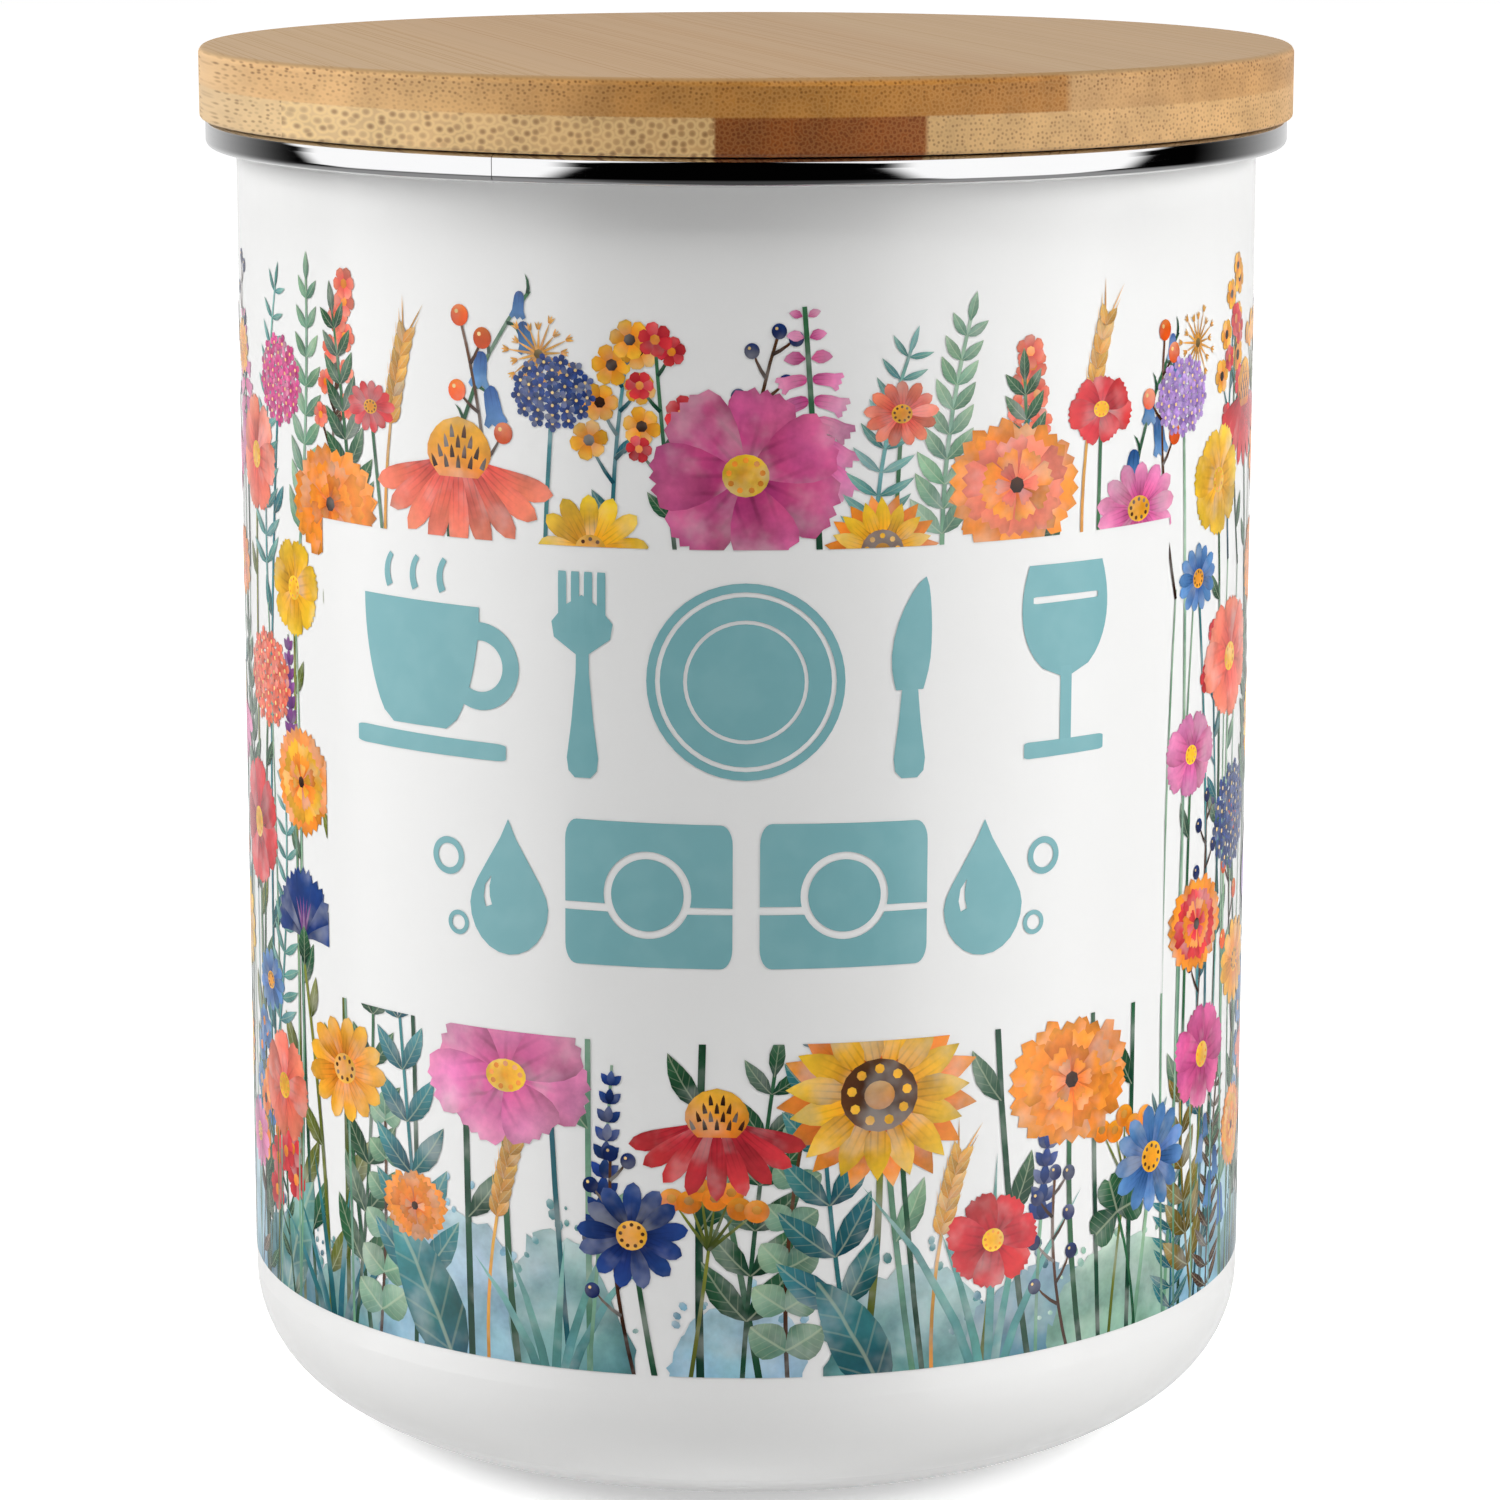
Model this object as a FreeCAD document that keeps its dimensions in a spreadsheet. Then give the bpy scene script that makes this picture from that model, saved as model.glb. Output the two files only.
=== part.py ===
import FreeCAD, Part
import math
import os
import Sketcher
from FreeCAD import Vector

# A round storage tin: an enamelled steel canister with a steel trim round its rolled mouth, and a
# lift-off bamboo lid whose plug carries a silicone seal. Every piece is turned about the Z axis.
# Z is up, the origin is the centre of the surface that the tin stands on, and the front is -Y.
# Sizes are millimetres and degrees.

SIZES = [
    ("body_diameter", 112.2, "outside of the enamelled wall"),
    ("tin_height", 145.1, "from the ground to the top of the trim"),
    ("wall", 0.8, "sheet steel with its two coats of enamel"),
    ("corner_radius", 13.5, "base corner, outside, where it leaves the wall"),
    ("corner_turn", 52.0, "turn of that arc before the flatter one takes over"),
    ("foot_radius", 22.4, "base corner, outside, where it runs into the foot"),
    ("foot_width", 4.0, "level ring that the tin stands on"),
    ("recess_depth", 2.4, "height of the base panel above the ground"),
    ("bend_radius", 0.4, "inside radius of a pressed bend in the sheet"),
    ("flange_reach", 2.8, "how far the mouth is turned out past the wall"),
    ("flange_drop", 1.9, "height of the flange, down to its turned-down edge"),
    ("flange_edge_round", 0.3, "enamel over the cut edge"),
    ("trim_thickness", 0.4, "steel strip of the trim"),
    ("trim_play", 0.1, "between the trim and the flange it wraps"),
    ("trim_top_round", 0.55, "upper outer edge of the trim"),
    ("trim_foot_round", 0.8, "lower outer edge of the trim"),
    ("trim_leg_overlap", 0.5, "leg of the trim in the mouth, on below the seal"),
    ("trim_wall_gap", 0.25, "between the trim's lower edge and the wall"),
    ("seam_gap", 0.08, "where the ends of the trim strip meet"),
    ("seam_bearing", 25.4, "place of that seam, left of the front"),
    ("lid_overhang", 0.6, "how far the disc stands out past the trim"),
    ("lid_thickness", 7.8, "disc of the lid"),
    ("lid_top_round", 0.8, "upper edge of the disc"),
    ("lid_foot_round", 0.4, "lower edge of the disc"),
    ("lid_gap", 0.2, "between the disc and the trim it closes on"),
    ("plug_depth", 8.5, "plug below the disc"),
    ("plug_clearance", 1.5, "between the plug and the mouth, all round"),
    ("plug_round", 1.0, "lower edge of the plug"),
    ("groove_width", 4.6, "groove of the seal"),
    ("groove_depth", 2.5, "groove of the seal, in from the plug"),
    ("groove_height", 1.8, "bottom of the groove above the plug's end"),
    ("seal_play", 0.1, "between the seal and each side of its groove"),
    ("seal_clearance", 0.2, "between the fins and the mouth"),
    ("fin_thickness", 0.7, "fins of the seal"),
    ("fin_round", 0.3, "outer edges of the fins"),
    ("fin_margin", 0.25, "plain edge of the seal above and below its fins"),
    ("fin_count", 3, "fins of the seal"),
]

# Radii and heights that several pieces share, worked out from the sizes.
WALL_OUTSIDE = "sizes.body_diameter / 2"
WALL_INSIDE = f"({WALL_OUTSIDE} - sizes.wall)"
FLANGE_RADIUS = f"({WALL_OUTSIDE} + sizes.flange_reach)"
FLANGE_TOP = "(sizes.tin_height - sizes.trim_thickness - sizes.trim_play)"
FLANGE_FOOT = f"({FLANGE_TOP} - sizes.flange_drop)"
TRIM_RADIUS = f"({FLANGE_RADIUS} + sizes.trim_play + sizes.trim_thickness)"
TRIM_FOOT = f"({FLANGE_FOOT} - sizes.trim_play - sizes.trim_thickness)"
MOUTH_RADIUS = f"({WALL_INSIDE} - sizes.trim_play - sizes.trim_thickness)"
PLUG_RADIUS = f"({MOUTH_RADIUS} - sizes.plug_clearance)"
LID_PLACE = "(sizes.tin_height + sizes.lid_gap - sizes.plug_depth)"
GROOVE_FOOT = f"({LID_PLACE} + sizes.groove_height)"
GROOVE_RADIUS = f"({PLUG_RADIUS} - sizes.groove_depth)"
OUTER_BEND = "(sizes.bend_radius + sizes.wall)"

# The base corner reaches this far in from the wall, where the level foot begins.
CORNER_REACH = ("(sizes.corner_radius + (sizes.foot_radius - sizes.corner_radius)"
                " * cos(sizes.corner_turn * 1 deg))")
FOOT_RADIUS = f"({WALL_OUTSIDE} - {CORNER_REACH})"
PANEL_RADIUS = f"({FOOT_RADIUS} - sizes.foot_width - {OUTER_BEND})"


def make_sheet(doc):
    """The driving sizes, one row each: name, value, meaning."""
    sheet = doc.addObject("Spreadsheet::Sheet", "sizes")
    for row, (alias, value, meaning) in enumerate(SIZES, start=1):
        sheet.set(f"A{row}", alias)
        sheet.set(f"B{row}", str(value))
        sheet.set(f"C{row}", meaning)
        sheet.setAlias(f"B{row}", alias)
    doc.recompute()


def upright(place, *arcs):
    """A side at that radius. Arcs, each (radius, turn), lead from it into the next side."""
    return ("upright", place, arcs)


def level(place, *arcs):
    """A side at that height, with the same arcs at its end."""
    return ("level", place, arcs)


def round_of(radius):
    """The one arc of an ordinary rounded corner."""
    return (radius, "90")


def inside_of(radius):
    """The same corner on the inner face of the trim's strip."""
    return round_of(f"({radius} - sizes.trim_thickness)")


def corner_after(sides, places, index):
    """The sharp corner between a side and the next one."""
    following = (index + 1) % len(sides)
    if sides[index][0] == "upright":
        return Vector(places[index], places[following], 0)
    return Vector(places[following], places[index], 0)


def draw_bend(sketch, corner, heading, onward, arcs):
    """Draws the arcs that turn one side into the next. Gives where they start and end, and for
    each arc its geometry's number with the numbers of its first and last point."""
    sweeps = [(sketch.evalExpression(radius), math.radians(sketch.evalExpression(turn)))
              for radius, turn in arcs]
    turned = 0.0
    reach = 0.0
    for radius, turn in sweeps:
        reach += radius * (math.sin(turned + turn) - math.sin(turned))
        turned += turn
    start = corner - heading * reach
    leftward = heading.cross(onward).z > 0
    point = start
    turned = 0.0
    drawn = []
    for radius, turn in sweeps:
        centre = point + (onward * math.cos(turned) - heading * math.sin(turned)) * radius
        turned += turn
        last = centre + (heading * math.sin(turned) - onward * math.cos(turned)) * radius
        first_angle = math.atan2(point.y - centre.y, point.x - centre.x)
        last_angle = math.atan2(last.y - centre.y, last.x - centre.x)
        circle = Part.Circle(centre, Vector(0, 0, 1), radius)
        if leftward:
            number = sketch.addGeometry(Part.ArcOfCircle(circle, first_angle, last_angle))
            drawn.append((number, 1, 2))
        else:
            number = sketch.addGeometry(Part.ArcOfCircle(circle, last_angle, first_angle))
            drawn.append((number, 2, 1))
        point = last
    return start, point, drawn


def constrain(sketch, expression, *definition):
    """Adds a constraint whose value follows an expression."""
    value = sketch.evalExpression(expression)
    value = getattr(value, "Value", value)
    if definition[0] == "Angle":
        value = math.radians(value)
    number = sketch.addConstraint(Sketcher.Constraint(*definition, value))
    sketch.setExpression(f"Constraints[{number}]", expression)


def draw_outline(sketch, sides):
    """Draws a closed outline of upright and level sides in turn, with arcs between them, and
    ties every side and arc to its expression."""
    places = [float(sketch.evalExpression(place)) for _, place, _ in sides]
    corners = [corner_after(sides, places, index) for index in range(len(sides))]
    bends = []
    for index, (_, _, arcs) in enumerate(sides):
        heading = (corners[index] - corners[index - 1]).normalize()
        onward = (corners[(index + 1) % len(sides)] - corners[index]).normalize()
        bends.append(draw_bend(sketch, corners[index], heading, onward, arcs))

    chain = []
    for index, (way, place, arcs) in enumerate(sides):
        line = sketch.addGeometry(Part.LineSegment(bends[index - 1][1], bends[index][0]))
        chain.append((line, 1, 2))
        chain.extend(bends[index][2])
        sketch.addConstraint(Sketcher.Constraint("Vertical" if way == "upright" else "Horizontal", line))
        axis = -2 if way == "upright" else -1
        if place == "0":
            sketch.addConstraint(Sketcher.Constraint("PointOnObject", line, 1, axis))
        else:
            distance = "DistanceX" if way == "upright" else "DistanceY"
            constrain(sketch, place, distance, -1, 1, line, 1)
        for (radius, turn), (arc, _, _) in zip(arcs, bends[index][2]):
            constrain(sketch, radius, "Radius", arc)
            # The last arc of a corner needs no angle: it runs on into the next side.
            if (radius, turn) != arcs[-1]:
                constrain(sketch, f"{turn} * 1 deg", "Angle", arc)

    def is_straight(piece):
        return isinstance(sketch.Geometry[piece[0]], Part.LineSegment)

    for piece, following in zip(chain, chain[1:] + chain[:1]):
        kind = "Coincident" if is_straight(piece) and is_straight(following) else "Tangent"
        sketch.addConstraint(Sketcher.Constraint(kind, piece[0], piece[2], following[0], following[1]))


def start_body(doc, name, height):
    """A body of that name, its own zero at that height."""
    body = doc.addObject("PartDesign::Body", name)
    body.Label = name
    body.setExpression("Placement.Base.z", height)
    doc.recompute()
    return body


def origin_feature(body, role):
    """One of a body's own axes or planes."""
    return next(feature for feature in body.Origin.OriginFeatures if feature.Role == role)


def turn_section(doc, body, name, sides):
    """Turns an outline, radius across and height up, about the body's Z axis."""
    sketch = body.newObject("Sketcher::SketchObject", f"{body.Name}_{name}_outline")
    sketch.AttachmentSupport = [(origin_feature(body, "XZ_Plane"), "")]
    sketch.MapMode = "FlatFace"
    doc.recompute()
    draw_outline(sketch, sides)
    doc.recompute()
    turned = body.newObject("PartDesign::Revolution", f"{body.Name}_{name}")
    turned.Profile = sketch
    turned.ReferenceAxis = (sketch, ["V_Axis"])
    turned.Angle = 360
    body.Tip = turned
    doc.recompute()
    return turned


def make_canister_body(doc):
    """Deep-drawn can: a raised base panel inside the foot it stands on, a base corner of two
    arcs, a straight wall, and a mouth flanged outwards and turned down."""
    body = start_body(doc, "canister_body", "0")
    inner_bend = round_of("sizes.bend_radius")
    outer_bend = round_of(OUTER_BEND)
    flange_edge = round_of("sizes.flange_edge_round")
    outer_corner = [("sizes.foot_radius", "(90 - sizes.corner_turn)"),
                    ("sizes.corner_radius", "sizes.corner_turn")]
    inner_corner = [("(sizes.corner_radius - sizes.wall)", "sizes.corner_turn"),
                    ("(sizes.foot_radius - sizes.wall)", "(90 - sizes.corner_turn)")]
    turn_section(doc, body, "wall", [
        upright("0"),
        level("sizes.recess_depth", inner_bend),
        upright(PANEL_RADIUS, outer_bend),
        level("0", *outer_corner),
        upright(WALL_OUTSIDE, inner_bend),
        level(f"({FLANGE_TOP} - sizes.wall)", inner_bend),
        upright(f"({FLANGE_RADIUS} - sizes.wall)", flange_edge),
        level(FLANGE_FOOT, flange_edge),
        upright(FLANGE_RADIUS, outer_bend),
        level(FLANGE_TOP, outer_bend),
        upright(WALL_INSIDE, *inner_corner),
        level("sizes.wall", inner_bend),
        upright(f"({PANEL_RADIUS} + sizes.wall)", outer_bend),
        level("(sizes.recess_depth + sizes.wall)"),
    ])
    return body


def make_rim_trim(doc):
    """Steel strip wrapped round the flange: it lines the mouth where the seal bears, passes over
    the top, and closes under the turned-down edge. Its ends meet in a fine seam."""
    body = start_body(doc, "rim_trim", "0")
    # The rotation needs its axis before its angle can follow an expression.
    body.Placement.Rotation = FreeCAD.Rotation(Vector(0, 0, 1), 1)
    body.setExpression("Placement.Rotation.Angle", "90 - sizes.seam_bearing")
    mouth_bend = f"({OUTER_BEND} + sizes.trim_play + sizes.trim_thickness)"
    strip = turn_section(doc, body, "strip", [
        upright(MOUTH_RADIUS, round_of(mouth_bend)),
        level("sizes.tin_height", round_of("sizes.trim_top_round")),
        upright(TRIM_RADIUS, round_of("sizes.trim_foot_round")),
        level(TRIM_FOOT),
        upright(f"({WALL_OUTSIDE} + sizes.trim_wall_gap)"),
        level(f"({TRIM_FOOT} + sizes.trim_thickness)", inside_of("sizes.trim_foot_round")),
        upright(f"({TRIM_RADIUS} - sizes.trim_thickness)", inside_of("sizes.trim_top_round")),
        level("(sizes.tin_height - sizes.trim_thickness)", inside_of(mouth_bend)),
        upright(f"({MOUTH_RADIUS} + sizes.trim_thickness)"),
        level(f"({GROOVE_FOOT} - sizes.trim_leg_overlap)"),
    ])
    strip.Midplane = True
    strip.setExpression("Angle", f"360 - 360 * sizes.seam_gap / (2 * pi * {TRIM_RADIUS})")
    doc.recompute()
    return body


def make_bamboo_lid(doc):
    """Glued bamboo turned as one piece: a disc, and a plug below it with the seal's groove."""
    body = start_body(doc, "bamboo_lid", LID_PLACE)
    turn_section(doc, body, "blank", [
        upright("0"),
        level("0", round_of("sizes.plug_round")),
        upright(PLUG_RADIUS),
        level("sizes.groove_height"),
        upright(GROOVE_RADIUS),
        level("(sizes.groove_height + sizes.groove_width)"),
        upright(PLUG_RADIUS),
        level("sizes.plug_depth", round_of("sizes.lid_foot_round")),
        upright(f"({TRIM_RADIUS} + sizes.lid_overhang)", round_of("sizes.lid_top_round")),
        level("(sizes.plug_depth + sizes.lid_thickness)"),
    ])
    return body


def make_lid_seal(doc):
    """Silicone ring in the plug's groove, with thin fins one above another that close on the
    mouth."""
    body = start_body(doc, "lid_seal", f"({GROOVE_FOOT} + sizes.seal_play)")
    ring_height = "(sizes.groove_width - 2 * sizes.seal_play)"
    # A fin keeps a narrow flat between its two rounded edges, however thin it is.
    fin_edge = round_of("min(sizes.fin_round; 0.45 * sizes.fin_thickness)")
    turn_section(doc, body, "ring", [
        upright(f"({GROOVE_RADIUS} + sizes.seal_play)"),
        level("0"),
        upright(PLUG_RADIUS),
        level(ring_height),
    ])
    fin = turn_section(doc, body, "fin", [
        upright(f"({PLUG_RADIUS} - sizes.groove_depth / 2)"),
        level("sizes.fin_margin", fin_edge),
        upright(f"({MOUTH_RADIUS} - sizes.seal_clearance)", fin_edge),
        level("(sizes.fin_margin + sizes.fin_thickness)"),
    ])
    fins = body.newObject("PartDesign::LinearPattern", "lid_seal_fins")
    fins.Originals = [fin]
    fins.Direction = (origin_feature(body, "Z_Axis"), [""])
    fins.setExpression("Length", f"{ring_height} - 2 * sizes.fin_margin - sizes.fin_thickness")
    fins.setExpression("Occurrences", "sizes.fin_count")
    body.Tip = fins
    doc.recompute()
    return body


os.makedirs("parts", exist_ok=True)
document = FreeCAD.newDocument("storage_tin")
make_sheet(document)
pieces = [
    make_canister_body(document),
    make_rim_trim(document),
    make_bamboo_lid(document),
    make_lid_seal(document),
]
document.recompute()

for item in document.Objects:
    if "Invalid" in item.State or "Error" in item.State:
        raise RuntimeError(f"{item.Label} could not be built")
    if item.TypeId == "Sketcher::SketchObject" and not item.FullyConstrained:
        raise RuntimeError(f"{item.Label} is not fully constrained")
for piece in pieces:
    if piece.Shape.isNull() or not piece.Shape.isValid():
        raise RuntimeError(f"{piece.Label} is not a sound solid")
for piece in pieces:
    piece.Shape.exportStep(f"parts/{piece.Label}.step")
    print(f"{piece.Label}: {len(piece.Shape.Solids)} solid, {piece.Shape.Volume:.0f} cubic mm")
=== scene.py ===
# %% [markdown]
# A printed enamel storage tin with a bamboo lid. The imported CAD model gives the tin, its metal rim, the lid
# and its seal, already in place. This lesson adds what the eye sees: the studio, the finishes and the printed
# meadow. The frame's box is kept.

# %% load the frame
import math
import random

import bmesh
import bpy
import numpy as np
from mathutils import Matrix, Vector
from mathutils.geometry import delaunay_2d_cdt


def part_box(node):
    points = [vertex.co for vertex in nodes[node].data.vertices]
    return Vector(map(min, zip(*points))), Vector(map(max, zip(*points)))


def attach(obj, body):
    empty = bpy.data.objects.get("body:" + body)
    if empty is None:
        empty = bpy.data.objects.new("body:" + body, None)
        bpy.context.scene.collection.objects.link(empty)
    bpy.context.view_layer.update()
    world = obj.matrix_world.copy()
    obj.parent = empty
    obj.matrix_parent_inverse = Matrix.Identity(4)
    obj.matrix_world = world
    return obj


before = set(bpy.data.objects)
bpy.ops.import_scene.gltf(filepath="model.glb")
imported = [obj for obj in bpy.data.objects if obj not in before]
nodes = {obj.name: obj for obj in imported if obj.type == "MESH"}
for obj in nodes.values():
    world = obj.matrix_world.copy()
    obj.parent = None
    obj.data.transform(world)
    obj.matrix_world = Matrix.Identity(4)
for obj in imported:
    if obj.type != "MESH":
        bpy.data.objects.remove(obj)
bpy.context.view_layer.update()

MM = 0.001
_, trim_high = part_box("rim_trim")
lid_low, lid_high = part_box("bamboo_lid")
bpy.ops.object.select_all(action="DESELECT")

# %% [markdown]
# The camera stands a little above the rim, a good half metre away, and looks slightly down. From there the
# lid's top is a thin ellipse and the tin's sides stay almost upright, as with a long lens in a studio.

# %% camera
EYE = (0.00042, -0.5700, 0.1874)
LOOK_DOWN = math.radians(11.29)
bpy.ops.object.camera_add(location=EYE, rotation=(math.pi / 2 - LOOK_DOWN, 0, 0))
camera = bpy.context.object
camera.name = "camera"
camera.data.sensor_width = 36
camera.data.lens = 123.4
bpy.context.scene.camera = camera
bpy.context.scene.view_settings.view_transform = "Standard"
print("camera", camera.data.lens, "mm at", EYE)

# %% [markdown]
# Every finish below is a small node tree. These helpers keep the trees short. One adds a node in the tree its
# sources live in and wires them up; with it come plain arithmetic, soft steps, mixes and noise. Others open a
# new material or group.

# %% node helpers
def add(tree, kind, **settings):
    node = tree.nodes.new(kind)
    for name, value in settings.items():
        setattr(node, name, value)
    return node


def feed(source, target):
    """Wires an output to an input, or sets the input when the source is a plain value."""
    if isinstance(source, bpy.types.NodeSocket):
        target.id_data.links.new(source, target)
    else:
        target.default_value = source


def wire(kind, targets, sources, **settings):
    """Adds a node beside the first of its sources that is an output, and feeds them all to its inputs."""
    tree = next(source.id_data for source in sources if isinstance(source, bpy.types.NodeSocket))
    node = add(tree, kind, **settings)
    for target, source in zip(targets, sources):
        feed(source, node.inputs[target])
    return node.outputs


def sums(operation, *sources):
    return wire("ShaderNodeMath", range(3), sources, operation=operation)[0]


def times(first, second):
    return sums("MULTIPLY", first, second)


def fade(value, start, end, low=0.0, high=1.0):
    """A soft step: low before start, high after end."""
    sources = value, start, end, low, high
    return wire("ShaderNodeMapRange", range(5), sources, interpolation_type="SMOOTHSTEP")[0]


def blend(share, first, second, how="MIX"):
    sources = share, first, second
    return wire("ShaderNodeMix", (0, 6, 7), sources, data_type="RGBA", blend_type=how)[2]


def darken(colour, level):
    """A colour multiplied by a grey level."""
    return blend(1.0, colour, wire("ShaderNodeCombineColor", range(3), (level, level, level))[0], "MULTIPLY")


def split(vector):
    return wire("ShaderNodeSeparateXYZ", [0], [vector])


def joined(*parts):
    return wire("ShaderNodeCombineXYZ", range(3), parts)[0]


def distance(vector):
    return wire("ShaderNodeVectorMath", [0], [vector], operation="LENGTH")["Value"]


def noise(place, scale, detail=2.0, **turn):
    """Noise at a scale. A fourth coordinate, W, starts the pattern anew."""
    sources = {"Vector": place, "Scale": scale, "Detail": detail, **turn}
    return wire("ShaderNodeTexNoise", sources, sources.values(), noise_dimensions="4D" if turn else "3D")


def new_group(title, takes, gives):
    group = bpy.data.node_groups.new(title, "ShaderNodeTree")
    for name, kind in takes:
        group.interface.new_socket(name, in_out="INPUT", socket_type="NodeSocket" + kind)
    for name in gives:
        group.interface.new_socket(name, in_out="OUTPUT", socket_type="NodeSocketFloat")
    return group, add(group, "NodeGroupInput").outputs, add(group, "NodeGroupOutput").inputs


def use_group(group, **inputs):
    return wire("ShaderNodeGroup", inputs, inputs.values(), node_tree=group)


def new_finish(title, **plain):
    """A material with one Principled shader. The plain values are the same all over the surface."""
    finish = bpy.data.materials.new(title)
    finish.use_nodes = True
    tree = finish.node_tree
    shader = tree.nodes["Principled BSDF"]
    for name, value in plain.items():
        shader.inputs[name.replace("_", " ")].default_value = value
    return finish, tree, shader, add(tree, "ShaderNodeTexCoord").outputs["Object"]


def bump(shader, height, depth, strength=1.0):
    sources = strength, depth, height
    feed(wire("ShaderNodeBump", ("Strength", "Distance", "Height"), sources)[0], shader.inputs["Normal"])


def linear(red, green, blue):
    """A colour as a painter reads it, 0 to 255, turned into the linear values that shaders use."""
    levels = [c / 255 for c in (red, green, blue)]
    return tuple(((c + 0.055) / 1.055) ** 2.4 if c > 0.04 else c / 12.92 for c in levels) + (1.0,)


print("node helpers ready")

# %% [markdown]
# The studio is plain: a white floor, a large soft lamp on each side, a soft one overhead and a dim white
# room. Two long softboxes and a dark gap between them are what polished metal shows, so the room gives them
# to mirror rays only. The eye and clear things see plain white. In the room, a bearing is in degrees to the
# right of the front, and a height is in degrees above the horizon.

# %% room
SOFTBOX, GAP, ROOM_FILL = 1.15, 0.0006, 0.02
SLANT, SLANT_FOOT = 0.5, -11
SIDE_EDGE, END_EDGE = 4, 5
world = bpy.data.worlds.new("studio_room")
bpy.context.scene.world = world
world.use_nodes = True
room = world.node_tree
room.nodes.clear()
toward = split(add(room, "ShaderNodeTexCoord").outputs["Generated"])
bearing = sums("ARCTAN2", toward["X"], times(toward["Y"], -1.0))
bearing = times(bearing, 180 / math.pi)
height = times(sums("ARCSINE", toward["Z"]), 180 / math.pi)


def softbox(low, high, foot, head):
    """A bright window between two bearings and two heights, in degrees. It leans out towards its top."""
    off_middle = sums("ABSOLUTE", sums("SUBTRACT", bearing, (low + high) / 2))
    half = sums("MULTIPLY_ADD", height, SLANT, (high - low) / 2 - SLANT_FOOT * SLANT)
    inside = fade(sums("SUBTRACT", off_middle, half), -SIDE_EDGE, SIDE_EDGE, 1.0, 0.0)
    inside = times(inside, fade(height, foot - END_EDGE, foot + END_EDGE))
    return times(inside, fade(height, head + END_EDGE, head - END_EDGE, 0.0, SOFTBOX))


off_front = sums("ABSOLUTE", bearing)
behind = fade(off_front, 106, 180, 0.0, 0.8)
floor_glow = times(fade(height, -18, -36, 0.0, 0.30), fade(off_front, 25, 65, 0.2, 1.0))
ceiling = fade(height, 66, 80)
level = softbox(-101, -41, -20, 42)
for light in (softbox(35, 86, -32, 42), behind, floor_glow, ceiling, GAP):
    level = sums("MAXIMUM", level, light)
rays = add(room, "ShaderNodeLightPath").outputs
seen = sums("MAXIMUM", rays["Is Camera Ray"], rays["Is Transmission Ray"])
over_fill = sums("SUBTRACT", level, ROOM_FILL)
strength = sums("MULTIPLY_ADD", rays["Is Glossy Ray"], over_fill, ROOM_FILL)
sources = (1, 1, 1, 1), sums("MAXIMUM", seen, strength)
background = wire("ShaderNodeBackground", ("Color", "Strength"), sources)[0]
wire("ShaderNodeOutputWorld", ["Surface"], [background])
print("room fill", ROOM_FILL)

# %% lamps
TIN_MIDDLE = Vector((0, 0, 0.08))


def soft_lamp(title, at, width, tall, watts):
    bpy.ops.object.light_add(type="AREA", location=at)
    lamp = bpy.context.object
    lamp.name = title
    lamp.rotation_euler = (TIN_MIDDLE - Vector(at)).to_track_quat("-Z", "Y").to_euler()
    lamp.data.shape = "RECTANGLE"
    lamp.data.size, lamp.data.size_y = width, tall
    lamp.data.energy = watts
    lamp.visible_camera = False
    lamp.visible_glossy = False


soft_lamp("lamp_left", (-1.07, 0.04, 0.62), 0.7, 0.7, 13.2)
soft_lamp("lamp_right", (1.12, -0.11, 0.49), 0.7, 0.7, 12.4)
soft_lamp("lamp_above", (0, -0.50, 1.15), 0.5, 0.45, 6.4)

# %% floor
bpy.ops.mesh.primitive_circle_add(vertices=96, radius=3.0, fill_type="NGON", location=(0, 0, 0))
floor = bpy.context.object
floor.name = "floor"
floor.visible_glossy = False
paper, tree, shader, place = new_finish("floor_paper", Roughness=0.9)
shader.inputs["Specular IOR Level"].default_value = 0.1
speck = noise(place, 60)["Fac"]
feed(blend(speck, linear(234, 234, 234), linear(238, 238, 238)), shader.inputs["Base Color"])
rays = add(tree, "ShaderNodeLightPath").outputs
seen = sums("MAXIMUM", rays["Is Camera Ray"], rays["Is Transmission Ray"])
glow = fade(distance(place), 0.10, 0.55, 0.50, 1.0)
lift = wire("ShaderNodeEmission", ["Strength"], [times(seen, glow)])[0]
both = wire("ShaderNodeAddShader", range(2), (shader.outputs[0], lift))[0]
feed(both, tree.nodes["Material Output"].inputs["Surface"])
floor.data.materials.append(paper)
print("floor", floor.dimensions.x, "m across")

# %% [markdown]
# Porcelain enamel is glass melted on steel. It is not perfectly flat: the melt leaves a faint ripple, a
# little like orange peel, and a hint of cloudiness. The print is fired into the same glass, so the white and
# both inks use this one group.

# %% shared glaze
GLAZE_ROUGH, PEEL_DEPTH, PEEL_STRENGTH = 0.2, 0.00002, 0.35
takes = [("Place", "Vector"), ("Roughness", "Float")]
glaze, glaze_in, glaze_out = new_group("glaze_ripple", takes, ["Cloud", "Roughness", "Height"])
cloud = noise(glaze_in["Place"], 38, 3)["Fac"]
feed(cloud, glaze_out["Cloud"])
feed(noise(glaze_in["Place"], 420, 1)["Fac"], glaze_out["Height"])
drift = sums("MULTIPLY_ADD", cloud, 0.06, -0.03)
feed(sums("ADD", glaze_in["Roughness"], drift), glaze_out["Roughness"])


def new_glazed(title):
    """A finish that lies under the glaze: its own colour, with the glaze's gloss and ripple."""
    finish, tree, shader, place = new_finish(title, Coat_Roughness=0.08)
    coat = use_group(glaze, Place=place, Roughness=GLAZE_ROUGH)
    feed(coat["Roughness"], shader.inputs["Roughness"])
    bump(shader, coat["Height"], PEEL_DEPTH, PEEL_STRENGTH)
    return finish, tree, shader, place, coat


print("group", glaze.name)

# %% [markdown]
# The tin's white is a shade off pure, with worn, slightly grey glass on the ring it stands on.

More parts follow.
